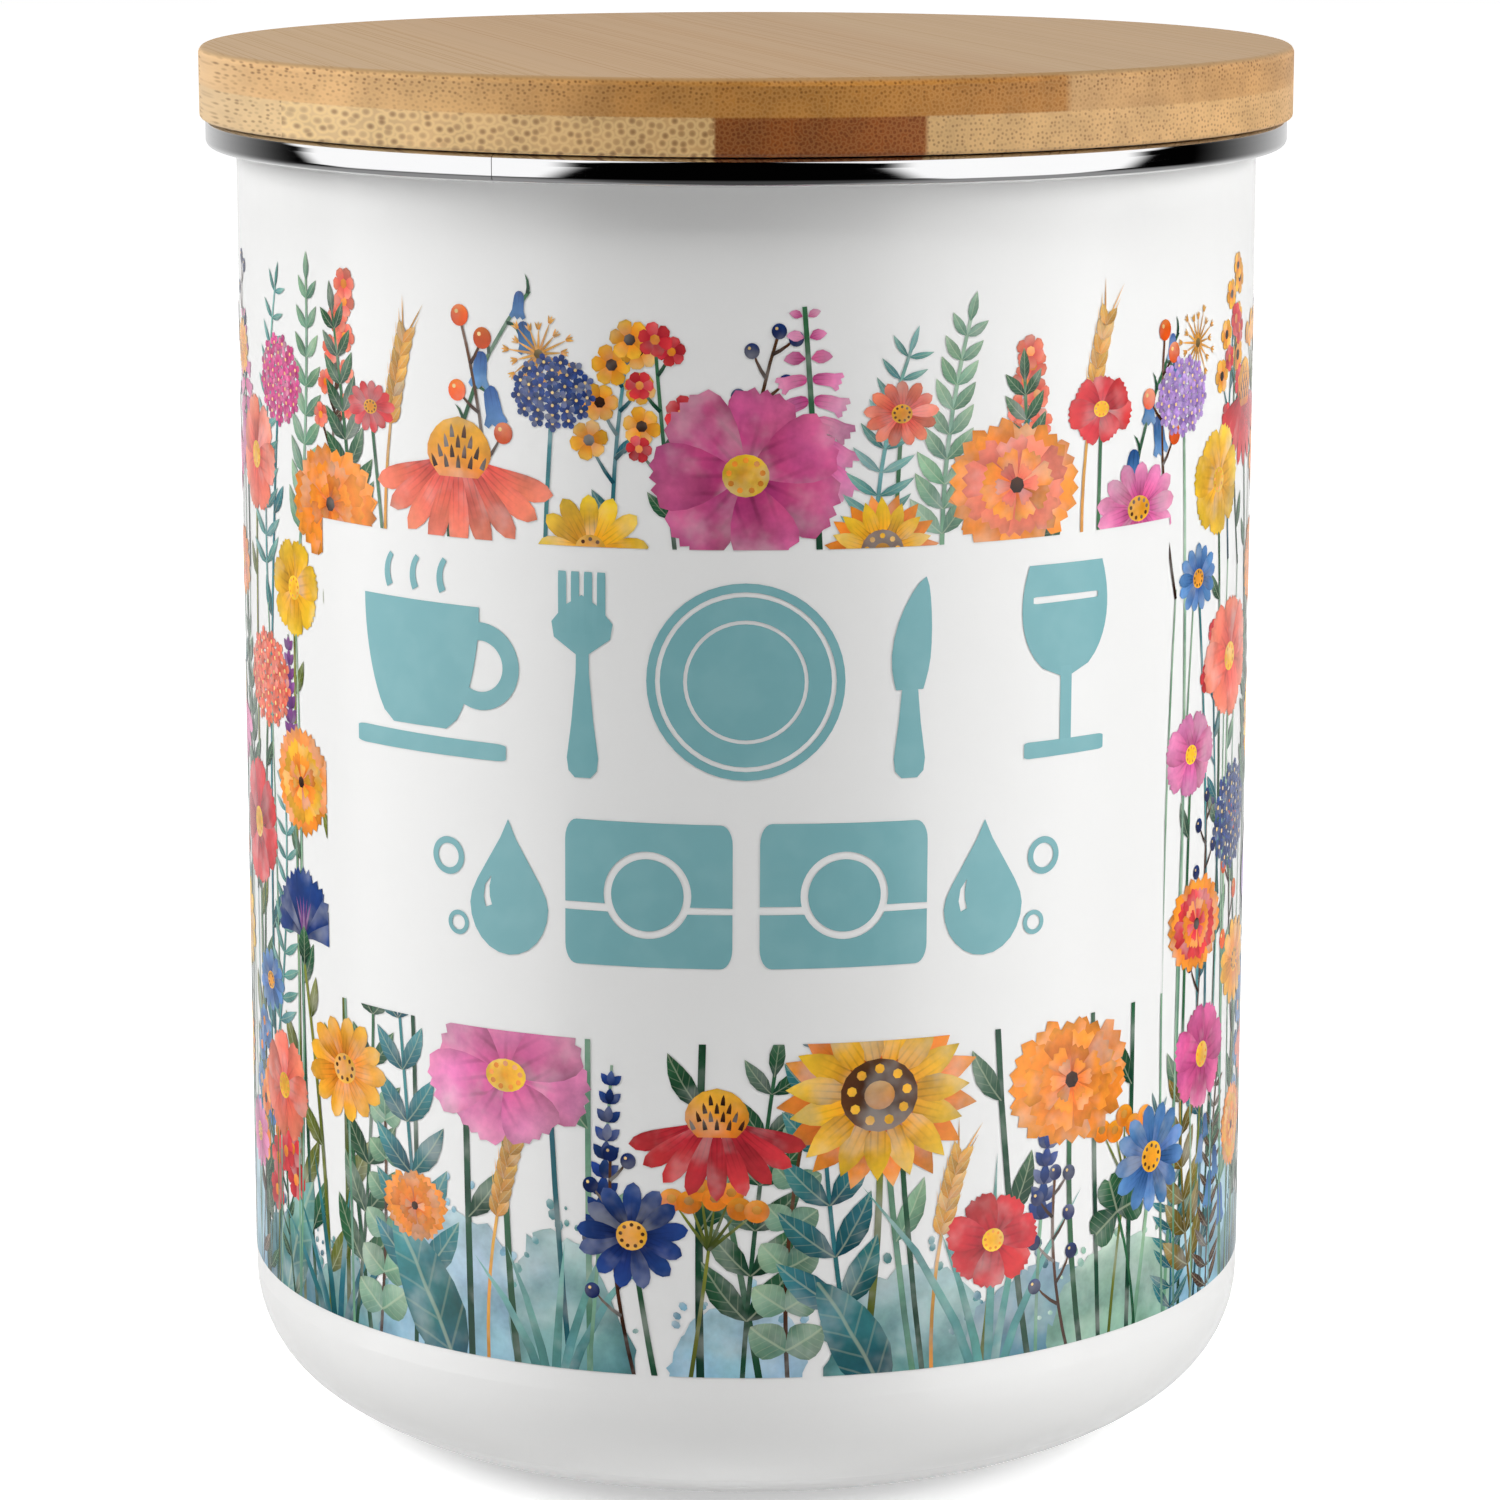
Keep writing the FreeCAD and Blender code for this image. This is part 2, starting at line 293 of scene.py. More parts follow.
# %% enamel
FOOT_WEAR = 0.6 * MM
enamel, tree, shader, place, coat = new_glazed("enamel_white")
white = blend(coat["Cloud"], linear(236, 236, 235), linear(240, 240, 239))
near_floor = fade(split(place)["Z"], FOOT_WEAR, 0.0)
worn = times(near_floor, fade(noise(place, 900)["Fac"], 0.42, 0.6))
feed(blend(times(worn, 0.7), white, linear(170, 166, 160)), shader.inputs["Base Color"])
feed(sums("MULTIPLY_ADD", worn, 0.35, coat["Roughness"]), shader.inputs["Roughness"])
nodes["canister_body"].material_slots[0].material = enamel
print("enamel on", nodes["canister_body"].name)

# %% [markdown]
# The rim is a thin stainless band, rolled over the tin's edge and polished like a mirror. Rolling leaves
# hair-fine lines that run round it: noise that is stretched along the way round, from the angle and the
# height. The band is also a little crowned, as rolled strip is, so that its mirrored softboxes end aslant.
# The top of the roll, where the lid lands, is rubbed dull.

# %% polished rim
TRIM_FOOT, CROWN_TOP = 142.2 * MM, trim_high.z - 1.0 * MM
CROWN = 48.0
LINES, LINE_DEPTH = 9000.0, 0.0000003
steel, tree, shader, place = new_finish("trim_polished", Metallic=1.0, IOR=2.6)
spot = split(place)
off_axis = distance(joined(spot["X"], spot["Y"]))
round_it = sums("ARCTAN2", spot["X"], spot["Y"])
lines_at = joined(times(off_axis, LINES), times(spot["Z"], LINES), round_it)
lines = noise(lines_at, 1.0)["Fac"]
smear = noise(place, 55)["Fac"]
feed(blend(smear, (0.80, 0.80, 0.81, 1), (0.86, 0.86, 0.86, 1)), shader.inputs["Base Color"])
polished = sums("MULTIPLY_ADD", lines, 0.07, 0.02)
rubbed = times(fade(off_axis, trim_high.x - 0.5 * MM, trim_high.x - 1.3 * MM),
               fade(spot["Z"], trim_high.z - 2.4 * MM, trim_high.z - 1.6 * MM))
feed(sums("MULTIPLY_ADD", rubbed, 0.24, polished), shader.inputs["Roughness"])
on_face = sums("MINIMUM", sums("MAXIMUM", spot["Z"], TRIM_FOOT), CROWN_TOP)
off_middle = sums("SUBTRACT", on_face, (trim_high.z + TRIM_FOOT) / 2)
crown = times(times(off_middle, off_middle), -CROWN)
bump(shader, sums("MULTIPLY_ADD", lines, LINE_DEPTH, crown), 1.0)
nodes["rim_trim"].material_slots[0].material = steel
print("rim", steel.name)

# %% [markdown]
# The lid is laminated bamboo: two layers of strips, each strip cut from the wall of a cane. A cane is straw
# packed with fibre bundles, so a cut across them shows brown dots with pale rings, and a cut along them shows
# streaks. One solid pattern does both: a flat honeycomb of dots, each with its ring, that runs straight
# through the lid. Fine bundles lie near the skin of the cane and coarse ones at its heart.

# %% bamboo grain
FINE, COARSE = 0.5 * MM, 0.95 * MM
UNEVEN, STRETCH = 0.72, 0.012
takes = [("Place", "Vector"), ("Spacing", "Float")]
grain, grain_in, grain_out = new_group("bamboo_bundles", takes, ["Dots", "Rings", "Drift"])
through = split(grain_in["Place"])
along = times(through["Y"], STRETCH)
crosswise = joined(through["X"], through["Z"])
sources = crosswise, sums("DIVIDE", 1.0, grain_in["Spacing"]), UNEVEN
cells = wire("ShaderNodeTexVoronoi", ("Vector", "Scale", "Randomness"), sources, voronoi_dimensions="2D")
bundle, off_bundle = split(cells["Color"])["X"], cells["Distance"]
depth_of_dot = fade(bundle, 0.0, 1.0, 0.35, 1.15)
feed(times(fade(off_bundle, 0.38, 0.08), depth_of_dot), grain_out["Dots"])
ring = times(fade(off_bundle, 0.28, 0.44), fade(off_bundle, 0.72, 0.5))
feed(ring, grain_out["Rings"])
slow = noise(joined(through["X"], along, through["Z"]), 260, 4)["Fac"]
feed(slow, grain_out["Drift"])
print("group", grain.name)

# %% [markdown]
# Each layer has a row of strips with tones of their own. A row says where along the lid's front edge, in mm,
# the cane has a tone; between two places the tone drifts, and where a strip meets the next it jumps. The
# strips lie a little turned to the front. The sawn top and bottom are smoother than the cut edge, with
# fainter dots and streaks. Their tone is also blended toward one darker, duller brown. That is painted shade,
# which keeps the top, lit strongly by the lamp above, from looking too bright.

# %% bamboo
PLY_SEAM = (lid_high.z + trim_high.z) / 2 + 0.1 * MM
LID_RADIUS = (lid_high.x - lid_low.x) / 2
GRAIN_TURN = math.radians(15)
COARSE_SPAN = (-48, -3.1)
LOWER_STRIPS = (
    (-60, (222, 190, 146)), (-50, (214, 183, 138)), (-31, (213, 174, 124)), (-3.2, (202, 158, 102)),
    (-3.1, (138, 70, 8)), (17.8, (138, 70, 8)), (17.9, (206, 166, 112)), (38.6, (206, 164, 113)),
)
UPPER_STRIPS = (
    (-60, (221, 182, 134)), (-50, (215, 172, 121)), (-31, (213, 168, 112)), (-11, (190, 132, 64)),
    (-3.2, (186, 128, 58)), (-3.1, (180, 121, 51)), (8, (184, 124, 50)), (25, (172, 115, 51)),
    (32.4, (173, 117, 55)), (32.5, (189, 148, 100)), (50, (191, 145, 94)),
)


def at_front_edge(place):
    """A place across the strips, from a place across the lid's front edge in mm."""
    return LID_RADIUS * math.sin(math.asin(place * MM / LID_RADIUS) - GRAIN_TURN)


def strips(across, rows):
    """Strips of cane, side by side."""
    tones = wire("ShaderNodeValToRGB", [0], [sums("MULTIPLY_ADD", across, 0.5 / LID_RADIUS, 0.5)])["Color"]
    points = tones.node.color_ramp.elements
    while len(points) < len(rows):
        points.new(1.0)
    for number, (edge, tone) in enumerate(rows):
        points[number].position = 0.5 + 0.5 * at_front_edge(edge) / LID_RADIUS if number else 0.0
        points[number].color = linear(*tone)
    return tones


bamboo, tree, shader, place = new_finish("bamboo_oiled", Roughness=0.5)
turned = wire("ShaderNodeVectorRotate", ("Vector", "Angle"), (place, -GRAIN_TURN), rotation_type="Z_AXIS")[0]
across, _, height = split(turned)
upper = fade(height, PLY_SEAM - 0.12 * MM, PLY_SEAM + 0.12 * MM)
lower = sums("SUBTRACT", 1.0, upper)
tone = blend(upper, strips(across, LOWER_STRIPS), strips(across, UPPER_STRIPS))
# The top and bottom faces: smoother grain there, and painted shade in their tone.
top = sums("MAXIMUM", fade(height, lid_high.z - 0.52 * MM, lid_high.z - 0.12 * MM),
           fade(height, lid_low.z + 0.6 * MM, lid_low.z + 0.1 * MM))
side = sums("MULTIPLY_ADD", top, -0.88, 1.0)
# Painted shade: the top and bottom faces are blended toward a darker, duller brown, so that the top, lit
# strongly by the lamp above, does not look too bright.
tone = blend(times(top, 0.82), tone, linear(163, 132, 91))
fine = use_group(grain, Place=turned, Spacing=FINE)
coarse = use_group(grain, Place=turned, Spacing=COARSE)
coarse_from, coarse_to = (at_front_edge(place) for place in COARSE_SPAN)
has_coarse = times(sums("GREATER_THAN", across, coarse_from), sums("LESS_THAN", across, coarse_to))
has_coarse = times(has_coarse, lower)
has_fine = sums("SUBTRACT", 1.0, has_coarse)
dots, rings = (sums("MULTIPLY_ADD", coarse[name], has_coarse, times(fine[name], has_fine))
               for name in ("Dots", "Rings"))
streaky = sums("SUBTRACT", fade(fine["Drift"], 0.3, 0.7, 0.86, 1.1), 1.0)
tone = darken(tone, sums("MULTIPLY_ADD", streaky, side, 1.0))
near_skin = fade(height, PLY_SEAM, lid_high.z, 0.22, 0.66)
darkness = sums("MAXIMUM", times(lower, 0.46), times(upper, near_skin))
darkness = times(times(dots, darkness), side)
tone = blend(darkness, tone, linear(84, 42, 12))
paleness = times(rings, sums("MULTIPLY_ADD", has_coarse, 0.40, 0.08))
tone = blend(times(paleness, side), tone, linear(240, 208, 146))
feed(tone, shader.inputs["Base Color"])
feed(sums("MULTIPLY_ADD", dots, 0.12, 0.46), shader.inputs["Roughness"])
bump(shader, sums("MULTIPLY_ADD", dots, -0.5, fine["Drift"]), 0.04 * MM, 0.35)
nodes["bamboo_lid"].material_slots[0].material = bamboo
print("bamboo seam at", round(PLY_SEAM / MM, 2), "mm")

# %% [markdown]
# The seal is moulded silicone: milky and matt, with the dust-fine texture of its mould.

# %% silicone
seal, tree, shader, place = new_finish("silicone_milky", Roughness=0.5)
mould = noise(place, 1500)["Fac"]
haze = noise(place, 70)["Fac"]
feed(blend(haze, linear(226, 227, 224), linear(238, 238, 235)), shader.inputs["Base Color"])
feed(sums("MULTIPLY_ADD", mould, 0.15, 0.42), shader.inputs["Roughness"])
bump(shader, mould, 0.01 * MM, 0.4)
nodes["lid_seal"].material_slots[0].material = seal
print("seal", seal.name)

# %% [markdown]
# The tin is decorated with a ceramic decal: ink printed on paper, slid on to the tin and fired into the
# glaze. The meadow is made the same way. Flat paper shapes are cut out once each, laid on a table one over
# another and pressed into a single thin sheet, which is wrapped round the tin. First come the shapes. Each
# starts as a grid whose rows are scaled to a profile, one unit tall, and is melted into a single outline.

# %% cutting paper
THINNEST = 1e-4


def edit(*steps):
    """Runs a few edit-mode operators on everything in the active mesh."""
    bpy.ops.object.mode_set(mode="EDIT")
    bpy.ops.mesh.select_all(action="SELECT")
    for operator, settings in steps:
        operator(**settings)
    bpy.ops.object.mode_set(mode="OBJECT")


def pick(shape, wanted):
    """Selects the listed vertices in edit mode, and nothing else."""
    work = bmesh.from_edit_mesh(shape.data)
    for v in work.verts:
        v.select = v.index in wanted
    work.select_flush_mode()
    bmesh.update_edit_mesh(shape.data)


def keep_outline(shape):
    """Melts the shape into one face, reads its outline for the many copies, and puts the model away."""
    edit((bpy.ops.mesh.remove_doubles, {"threshold": 0.001}), (bpy.ops.mesh.dissolve_faces, {}))
    outline = np.array([shape.data.vertices[k].co[:2] for k in shape.data.polygons[0].vertices])
    bpy.data.objects.remove(shape)
    return outline


def lobe(rows, fullest, foot=0.0, tip=0.0, blunt=1.0):
    """Heights and widths of a leaf: it swells up to its fullest place, then narrows to its tip."""
    profile = []
    for k in range(rows + 1):
        height = 0.5 * k / rows + 0.25 - 0.25 * math.cos(math.pi * k / rows)
        if height < fullest:
            width = foot + (1 - foot) * math.sin(math.pi / 2 * height / fullest)
        else:
            narrowed = max(0.0, math.cos(math.pi / 2 * (height - fullest) / (1 - fullest)))
            width = tip + (1 - tip) * narrowed ** blunt
        profile.append((height, width))
    return profile


def cut_out(profile, edge=(0, 0, 0)):
    """Cuts a shape from its profile. edge moves each point of its tip up or down, for notches and teeth."""
    columns, rows = len(edge) - 1, len(profile) - 1
    bpy.ops.mesh.primitive_grid_add(x_subdivisions=columns, y_subdivisions=rows, size=1)
    shape = bpy.context.object
    bpy.ops.object.mode_set(mode="EDIT")
    for row, (height, width) in enumerate(profile):
        pick(shape, range(row * (columns + 1), (row + 1) * (columns + 1)))
        bpy.ops.transform.resize(value=(max(width, THINNEST), 1, 1), center_override=(0, 0, 0))
        bpy.ops.transform.translate(value=(0, height + 0.5 - row / rows, 0))
    for k, lift in enumerate(edge):
        if lift:
            pick(shape, [rows * (columns + 1) + k])
            bpy.ops.transform.translate(value=(0, lift, 0))
    bpy.ops.object.mode_set(mode="OBJECT")
    return keep_outline(shape)


def round_paper(corners, ragged=0.0, seed=0):
    """A disc, or a ragged blot."""
    bpy.ops.mesh.primitive_circle_add(vertices=corners, radius=0.5, fill_type="NGON")
    if ragged:
        edit((bpy.ops.transform.vertex_random, {"offset": ragged, "seed": seed}))
    return keep_outline(bpy.context.object)


LEAF = cut_out(lobe(6, 0.42))
WIDE_LEAF = cut_out(lobe(8, 0.4, 0.1, 0, 0.7))
PETAL = cut_out(lobe(7, 0.64, 0.24, 0, 0.5))
SMALL_PETAL = cut_out(((0, 0.3), (0.4, 0.8), (0.75, 1), (1, 0.5)), (0, 0))
NOTCHED = cut_out(lobe(7, 0.74, 0.16, 0.55, 0.5), (-0.07, 0.0, -0.07, 0.01, -0.05, 0.0, -0.06))
FAN = cut_out(((0, 0.12), (0.3, 0.38), (0.6, 0.72), (0.84, 0.98), (1, 1)),
              (-0.12, 0.0, -0.09, 0.03, -0.07, 0.02, -0.13))
BELL = cut_out(((0, 0.2), (0.06, 0.5), (0.2, 0.7), (0.5, 0.8), (0.78, 0.84), (1, 1.2)),
               (0.02, 0.14, 0.03, 0.16, 0.03, 0.14, 0.02))
BUD = cut_out(((0, 0.1), (0.3, 0.92), (0.55, 1), (0.82, 0.56), (1, 0)), (0, 0))
DOME = cut_out(lobe(8, 0.4, 0.6, 0, 0.5))
BLADE = cut_out(((0, 1), (0.3, 0.92), (0.65, 0.66), (1, 0)), (0, 0))
STALK = cut_out([(k / 9, 1 - 0.3 * k / 9) for k in range(10)], (0, 0))
HEART = cut_out(lobe(6, 0.66, 0.06, 0.5, 0.6), (-0.03, 0.0, -0.14, 0.0, -0.03))
DISC = round_paper(18)
DOT = round_paper(7)
BLOTS = [round_paper(60, 0.045, seed) for seed in (3, 5, 8, 13)]
print("paper shapes cut; a leaf has", len(LEAF), "corners")

# %% [markdown]
# Laying a shape puts a copy of it on the table, at its place, leaning and curling as a stem or a petal does.
# Each copy carries two inks, foot and tip, and a kind that says how the brush marks it: a plain wash, a leaf
# with its rib and veins, a petal with streaks, or a disc that is shaded from its middle.

# %% laying paper
PLAIN, VEINED, STREAKED, ROUNDED = 0.0, 1.0, 2.0, 3.0
LEAST_CURL, LEAST_BOW = 0.01, 1e-3
INKS = {
    "pink": ((206, 70, 138), (238, 148, 192)), "rose": ((190, 48, 118), (226, 104, 160)),
    "coral": ((226, 66, 58), (246, 138, 108)), "red": ((186, 28, 48), (228, 62, 66)),
    "orange": ((230, 84, 22), (250, 152, 48)), "amber": ((236, 128, 24), (250, 186, 52)),
    "yellow": ((240, 158, 26), (252, 204, 48)), "cream": ((246, 206, 128), (252, 230, 170)),
    "navy": ((14, 32, 86), (38, 74, 146)), "blue": ((38, 84, 150), (96, 146, 200)),
    "lilac": ((132, 96, 178), (190, 156, 216)), "plum": ((92, 44, 110), (150, 86, 156)),
    "teal": ((16, 76, 90), (66, 142, 148)), "sea": ((60, 130, 132), (130, 184, 176)),
    "green": ((18, 62, 46), (60, 114, 76)), "moss": ((66, 82, 28), (130, 138, 56)),
    "sage": ((92, 142, 118), (156, 192, 160)), "olive": ((82, 68, 20), (150, 128, 50)),
    "brown": ((48, 26, 18), (96, 60, 34)), "ochre": ((206, 134, 44), (236, 182, 92)),
    "wash_blue": ((136, 184, 206), (232, 244, 250)), "wash_sage": ((136, 180, 160), (228, 242, 232)),
    "wash_teal": ((96, 150, 152), (214, 232, 230)), "wash_deep": ((72, 120, 138), (190, 214, 220)),
}
dice = random.Random(41)
meadow = []


def ink(name, wobble=0.07):
    """The two inks of a name, both a touch lighter or darker, as a brush load varies."""
    depth = 1 + dice.uniform(-wobble, wobble)
    return tuple(tuple(min(1.0, c * depth) for c in linear(*tone)[:3]) for tone in INKS[name])


def lay(table, shape, x, z, lean, length, width, inks, kind=PLAIN, curl=0.0):
    """Lays a copy with its foot at x, z, in mm. lean and curl are angles to the right of upright."""
    curl = curl if abs(curl) > LEAST_CURL else LEAST_CURL
    turn = lean + curl * shape[:, 1]
    across = shape[:, 0] * width
    sideways = length / curl * (math.cos(lean) - np.cos(turn)) + across * np.cos(turn)
    upward = length / curl * (np.sin(turn) - math.sin(lean)) - across * np.sin(turn)
    outline = np.column_stack((x + sideways, z + upward))
    table.append((outline, (x, z, lean, curl, length, width), inks, kind))


def put(shape, x, z, lean, length, width, inks, kind=PLAIN, curl=0.0):
    """Lays a copy in the meadow. Its inks are a pair, or a name for a fresh load."""
    lay(meadow, shape, x, z, lean, length, width, ink(inks) if isinstance(inks, str) else inks, kind, curl)


def stem_to(x, z, head_x, head_z, bow):
    """A stem as an arc from its foot to its head: foot, lean, curl and length."""
    bow = bow if abs(bow) > LEAST_BOW else LEAST_BOW
    chord = math.hypot(head_x - x, head_z - z)
    return x, z, math.atan2(head_x - x, head_z - z) - bow / 2, bow, chord * (bow / 2) / math.sin(bow / 2)


def up(stem, share):
    """The place on a stem at a share of its length, and the way it points there."""
    x, z, lean, curl, length = stem
    turn = lean + curl * share
    return (x + length / curl * (math.cos(lean) - math.cos(turn)),
            z + length / curl * (math.sin(turn) - math.sin(lean)), turn)


def spoke(x, z, angle, reach, squash=1.0):
    """The place that lies at a reach from x, z, at an angle to the right of upright."""
    return x + reach * math.sin(angle), z + reach * squash * math.cos(angle)


def stalk(stem, width, name):
    x, z, lean, curl, length = stem
    put(STALK, x, z, lean, length, width, name, PLAIN, curl)


def grow(x, z, height, lean, bow, width, name):
    """A stem that rises from x, z, with its stalk laid."""
    stem = stem_to(x, z, x + lean * height, z + height, bow)
    stalk(stem, width, name)
    return stem


print("inks", len(INKS))

# %% [markdown]
# Leaves come next, since every plant has them. A sprig is a stem with leaves in pairs or by turns, smaller
# towards the tip. Ferns, round-leaved twigs, clover and grass are the same idea with other papers and counts.

# %% leaves and sprigs
def leaves_on(stem, span, count, length, width, spread, name, shape=LEAF, by_turns=False):
    for k in range(count):
        share = span[0] + (span[1] - span[0]) * k / max(1, count - 1)
        grown = 1.0 - 0.5 * k / count
        x, z, turn = up(stem, share)
        for side in ((-1) ** k,) if by_turns else (-1, 1):
            angle = turn + side * (spread + dice.uniform(-0.12, 0.12))
            put(shape, x, z, angle, length * grown, width * grown, name, VEINED, -side * 0.3)
    if not by_turns:
        x, z, turn = up(stem, 0.97)
        put(shape, x, z, turn, length * 0.6, width * 0.55, name, VEINED)


def sprig(x, z, height, name, lean=0.0, size=1.0, pairs=6):
    stem = grow(x, z, height, lean, dice.uniform(-0.35, 0.35), 0.55, name)
    leaves_on(stem, (0.25, 0.92), pairs, 7.0 * size, 2.7 * size, 0.85, name)


def fern(x, z, height, name, lean=0.0):
    stem = grow(x, z, height, lean, dice.uniform(-0.5, 0.5), 0.5, name)
    leaves_on(stem, (0.12, 0.96), 11, 5.2, 1.25, 1.12, name)


def coin_leaf(x, z, height, name, lean=0.0):
    """A twig of round leaves."""
    stem = grow(x, z, height, lean, dice.uniform(-0.4, 0.4), 0.5, "brown")
    leaves_on(stem, (0.2, 0.95), 6, 4.6, 4.2, 1.1, name, WIDE_LEAF)


def broad_leaf(x, z, length, name, lean=0.0, curl=0.0):
    put(WIDE_LEAF, x, z, lean, length, length * 0.4, name, VEINED, curl)


def grass(x, z, height, name, blades=5):
    for k in range(blades):
        lean = (k - (blades - 1) / 2) * 0.16 + dice.uniform(-0.05, 0.05)
        tall = height * dice.uniform(0.6, 1.0)
        put(BLADE, x + k * 0.5, z, lean, tall, 1.1, name, PLAIN, lean * 1.6)


def clover(x, z, height, name, lean=0.0):
    x, z, turn = up(grow(x, z, height, lean, dice.uniform(-0.5, 0.5), 0.5, name), 1.0)
    for k in (-1, 1, 0):
        put(HEART, x, z, turn + k * 1.75, 4.4, 4.4, name, VEINED)


print("sprigs ready")

# %% [markdown]
# Most flowers are heads: rings of petals round a middle. A ring is laid every second petal first, so that
# neighbours overlap like real ones, and a ring that is squashed shows its flower a little from the side.

# %% flower heads
def ring_of(shape, x, z, count, start, length, width, name, squash=1.0, swing=0.0, kind=STREAKED):
    for k in (*range(0, count, 2), *range(1, count, 2)):
        angle = swing + 2 * math.pi * k / count
        right, above = math.sin(angle), math.cos(angle) * squash
        grown = length * math.hypot(right, above) * dice.uniform(0.94, 1.05)
        load = ink(name, 0.15)
        put(shape, x + start * right, z + start * above, math.atan2(right, above), grown, width, load, kind,
            dice.uniform(-0.15, 0.15))


def heart(x, z, size, name, dots, squash=1.0):
    """The disc at a flower's middle, ringed with pollen dots."""
    put(DISC, x, z, 0, 2 * size * squash, 2 * size, name, ROUNDED)
    for k in range(9):
        at = spoke(x, z, 2 * math.pi * k / 9, 0.72 * size, squash)
        put(DOT, *at, 0, size * 0.26, size * 0.26, dots, ROUNDED)


def daisy(x, z, size, name, squash=1.0):
    ring_of(PETAL, x, z, 13, size * 0.2, size * 0.8, size * 0.34, name, squash, dice.uniform(0, 0.5))
    heart(x, z, size * 0.28, "amber", "brown", squash)


def button(x, z, size, name):
    """The smallest flower: six short petals and a dot."""
    swing = dice.uniform(0, 1)
    ring_of(SMALL_PETAL, x, z, 6, size * 0.15, size * 0.85, size * 0.8, name, 1.0, swing, PLAIN)
    put(DOT, x, z, 0, size * 0.62, size * 0.62, "brown" if name in ("amber", "yellow", "orange") else "amber")


def allium(x, z, size, name, squash=1.0):
    """A ball of little stars. Those nearer its edge are laid first, so the ball looks full."""
    for count, reach in ((13, 0.86), (10, 0.62), (6, 0.36), (1, 0.0)):
        for k in range(count):
            angle = 2 * math.pi * (k + 0.5 * (count % 2)) / count
            at = spoke(x, z, angle, size * reach, squash)
            ring_of(SMALL_PETAL, *at, 5, 0, size * 0.2, size * 0.15, name, 1.0, angle, PLAIN)
            put(DOT, *at, 0, size * 0.08, size * 0.08, "cream")


def sunflower(x, z, size, name, squash=1.0):
    swing = dice.uniform(0, 0.4)
    ring_of(LEAF, x, z, 15, size * 0.3, size * 0.7, size * 0.30, "orange", squash, swing)
    ring_of(LEAF, x, z, 15, size * 0.28, size * 0.64, size * 0.28, name, squash, swing + 0.21)
    heart(x, z, size * 0.38, "brown", "amber", squash)
    put(DISC, x, z, 0, size * 0.3 * squash, size * 0.3, "ochre")


def cosmos(x, z, size, name, squash=1.0):
    swing = dice.uniform(0, 0.8)
    ring_of(NOTCHED, x, z, 7, size * 0.08, size * 0.92, size * 0.70, name, squash, swing)
    heart(x, z, size * 0.24, "yellow", "orange", squash)


def marigold(x, z, size, name, squash=1.0):
    for reach, count, tone in ((1.0, 12, "orange"), (0.78, 10, name), (0.54, 8, "orange"), (0.34, 6, name)):
        swing = dice.uniform(0, 0.6)
        ring_of(FAN, x, z, count, 0, size * reach, size * reach * 0.62, tone, squash, swing)
    put(DOT, x, z, 0, size * 0.22, size * 0.22, "brown")


def coneflower(x, z, size, name):
    """Seen from the side: petals that hang from a bristly dome."""
    for k in (0, 8, 1, 7, 2, 6, 3, 5, 4):
        share = (k - 4) / 4
        put(PETAL, x + share * size * 0.36, z - size * 0.05 * (1 - share ** 2), math.pi - share * 1.05,
            size * (0.95 - 0.1 * abs(share)), size * 0.27, name, STREAKED, -share * 0.4)
    put(DOME, x, z - size * 0.14, 0, size * 0.66, size * 0.84, "amber")
    for row in range(4):
        for k in range(5 - row):
            off = k - (4 - row) / 2
            put(BLADE, x + off * size * 0.15, z + row * size * 0.11 - size * 0.04,
                off * 0.2, size * 0.15, size * 0.06, "brown")


def cornflower(x, z, size, name):
    """Seen from the side: a fan of toothed petals over a scaly green cup."""
    for k in (0, 6, 1, 5, 2, 4, 3):
        share = (k - 3) / 3
        tall = size * (1.0 - 0.12 * abs(share))
        put(FAN, x, z, share * 1.15, tall, size * 0.5, name, STREAKED, share * 0.3)
    for k in (-2, 2, -1, 1, 0):
        put(BLADE, x, z, k * 0.2, size * 0.6, size * 0.06, "plum")
    put(BUD, x, z - size * 0.42, 0, size * 0.58, size * 0.36, "green", VEINED)


print("flower heads ready")

# %% [markdown]
# The other flowers of a meadow are spikes and sprays: bluebells, lavender, foxgloves and wheat carry theirs
# along the stem, and posies, berries and tansy at the tips of side stems that leave it by turns.

# %% spikes and sprays
def branch(stem, share, side, out, reach, width, name, curl):
    """A side stem that leaves at a share of the stem, or none where side is 0. Gives the place of its tip."""
    x, z, turn = up(stem, share)
    out, reach = out * side, reach * abs(side)
    if reach:
        put(BLADE, x, z, turn + out, reach, width, name, PLAIN, -out * curl)
    return spoke(x, z, turn + out * 0.8, reach)


def side_of(k, count):
    """Left and right by turns, and neither for the last, which is the stem's own tip."""
    return (1 if k % 2 else -1) * (k < count - 1)


def berries(x, z, height, name, lean=0.0, size=1.6, count=7):
    stem = grow(x, z, height, lean, dice.uniform(-0.5, 0.5), 0.45, "brown")
    for k in range(count):
        share = 0.35 + 0.65 * k / (count - 1)
        reach = 4.2 * (1.15 - 0.5 * share)
        tip_x, tip_z = branch(stem, share, side_of(k, count), 0.9, reach, 0.4, "brown", 0.5)
        put(DISC, tip_x, tip_z, 0, size * 1.25, size * 1.2, ink(name, 0.12))
        put(DOT, tip_x - size * 0.2, tip_z + size * 0.22, 0, size * 0.26, size * 0.26, "cream")


def posy(x, z, height, name, lean=0.0, size=2.6, count=5):
    """A small flower at the end of each branch."""
    green = dice.choice(("green", "brown", "teal"))
    stem = grow(x, z, height, lean, dice.uniform(-0.4, 0.4), 0.5, green)
    leaves_on(stem, (0.15, 0.6), 3, 4.5, 1.6, 0.8, green, by_turns=True)
    for k in range(count):
        share = 0.5 + 0.5 * k / (count - 1)
        reach = size * 2.1 * (1.2 - 0.15 * k)
        tip_x, tip_z = branch(stem, share, side_of(k, count), 0.75, reach, 0.42, green, 0.4)
        button(tip_x, tip_z, size * dice.uniform(0.75, 1.05), name)


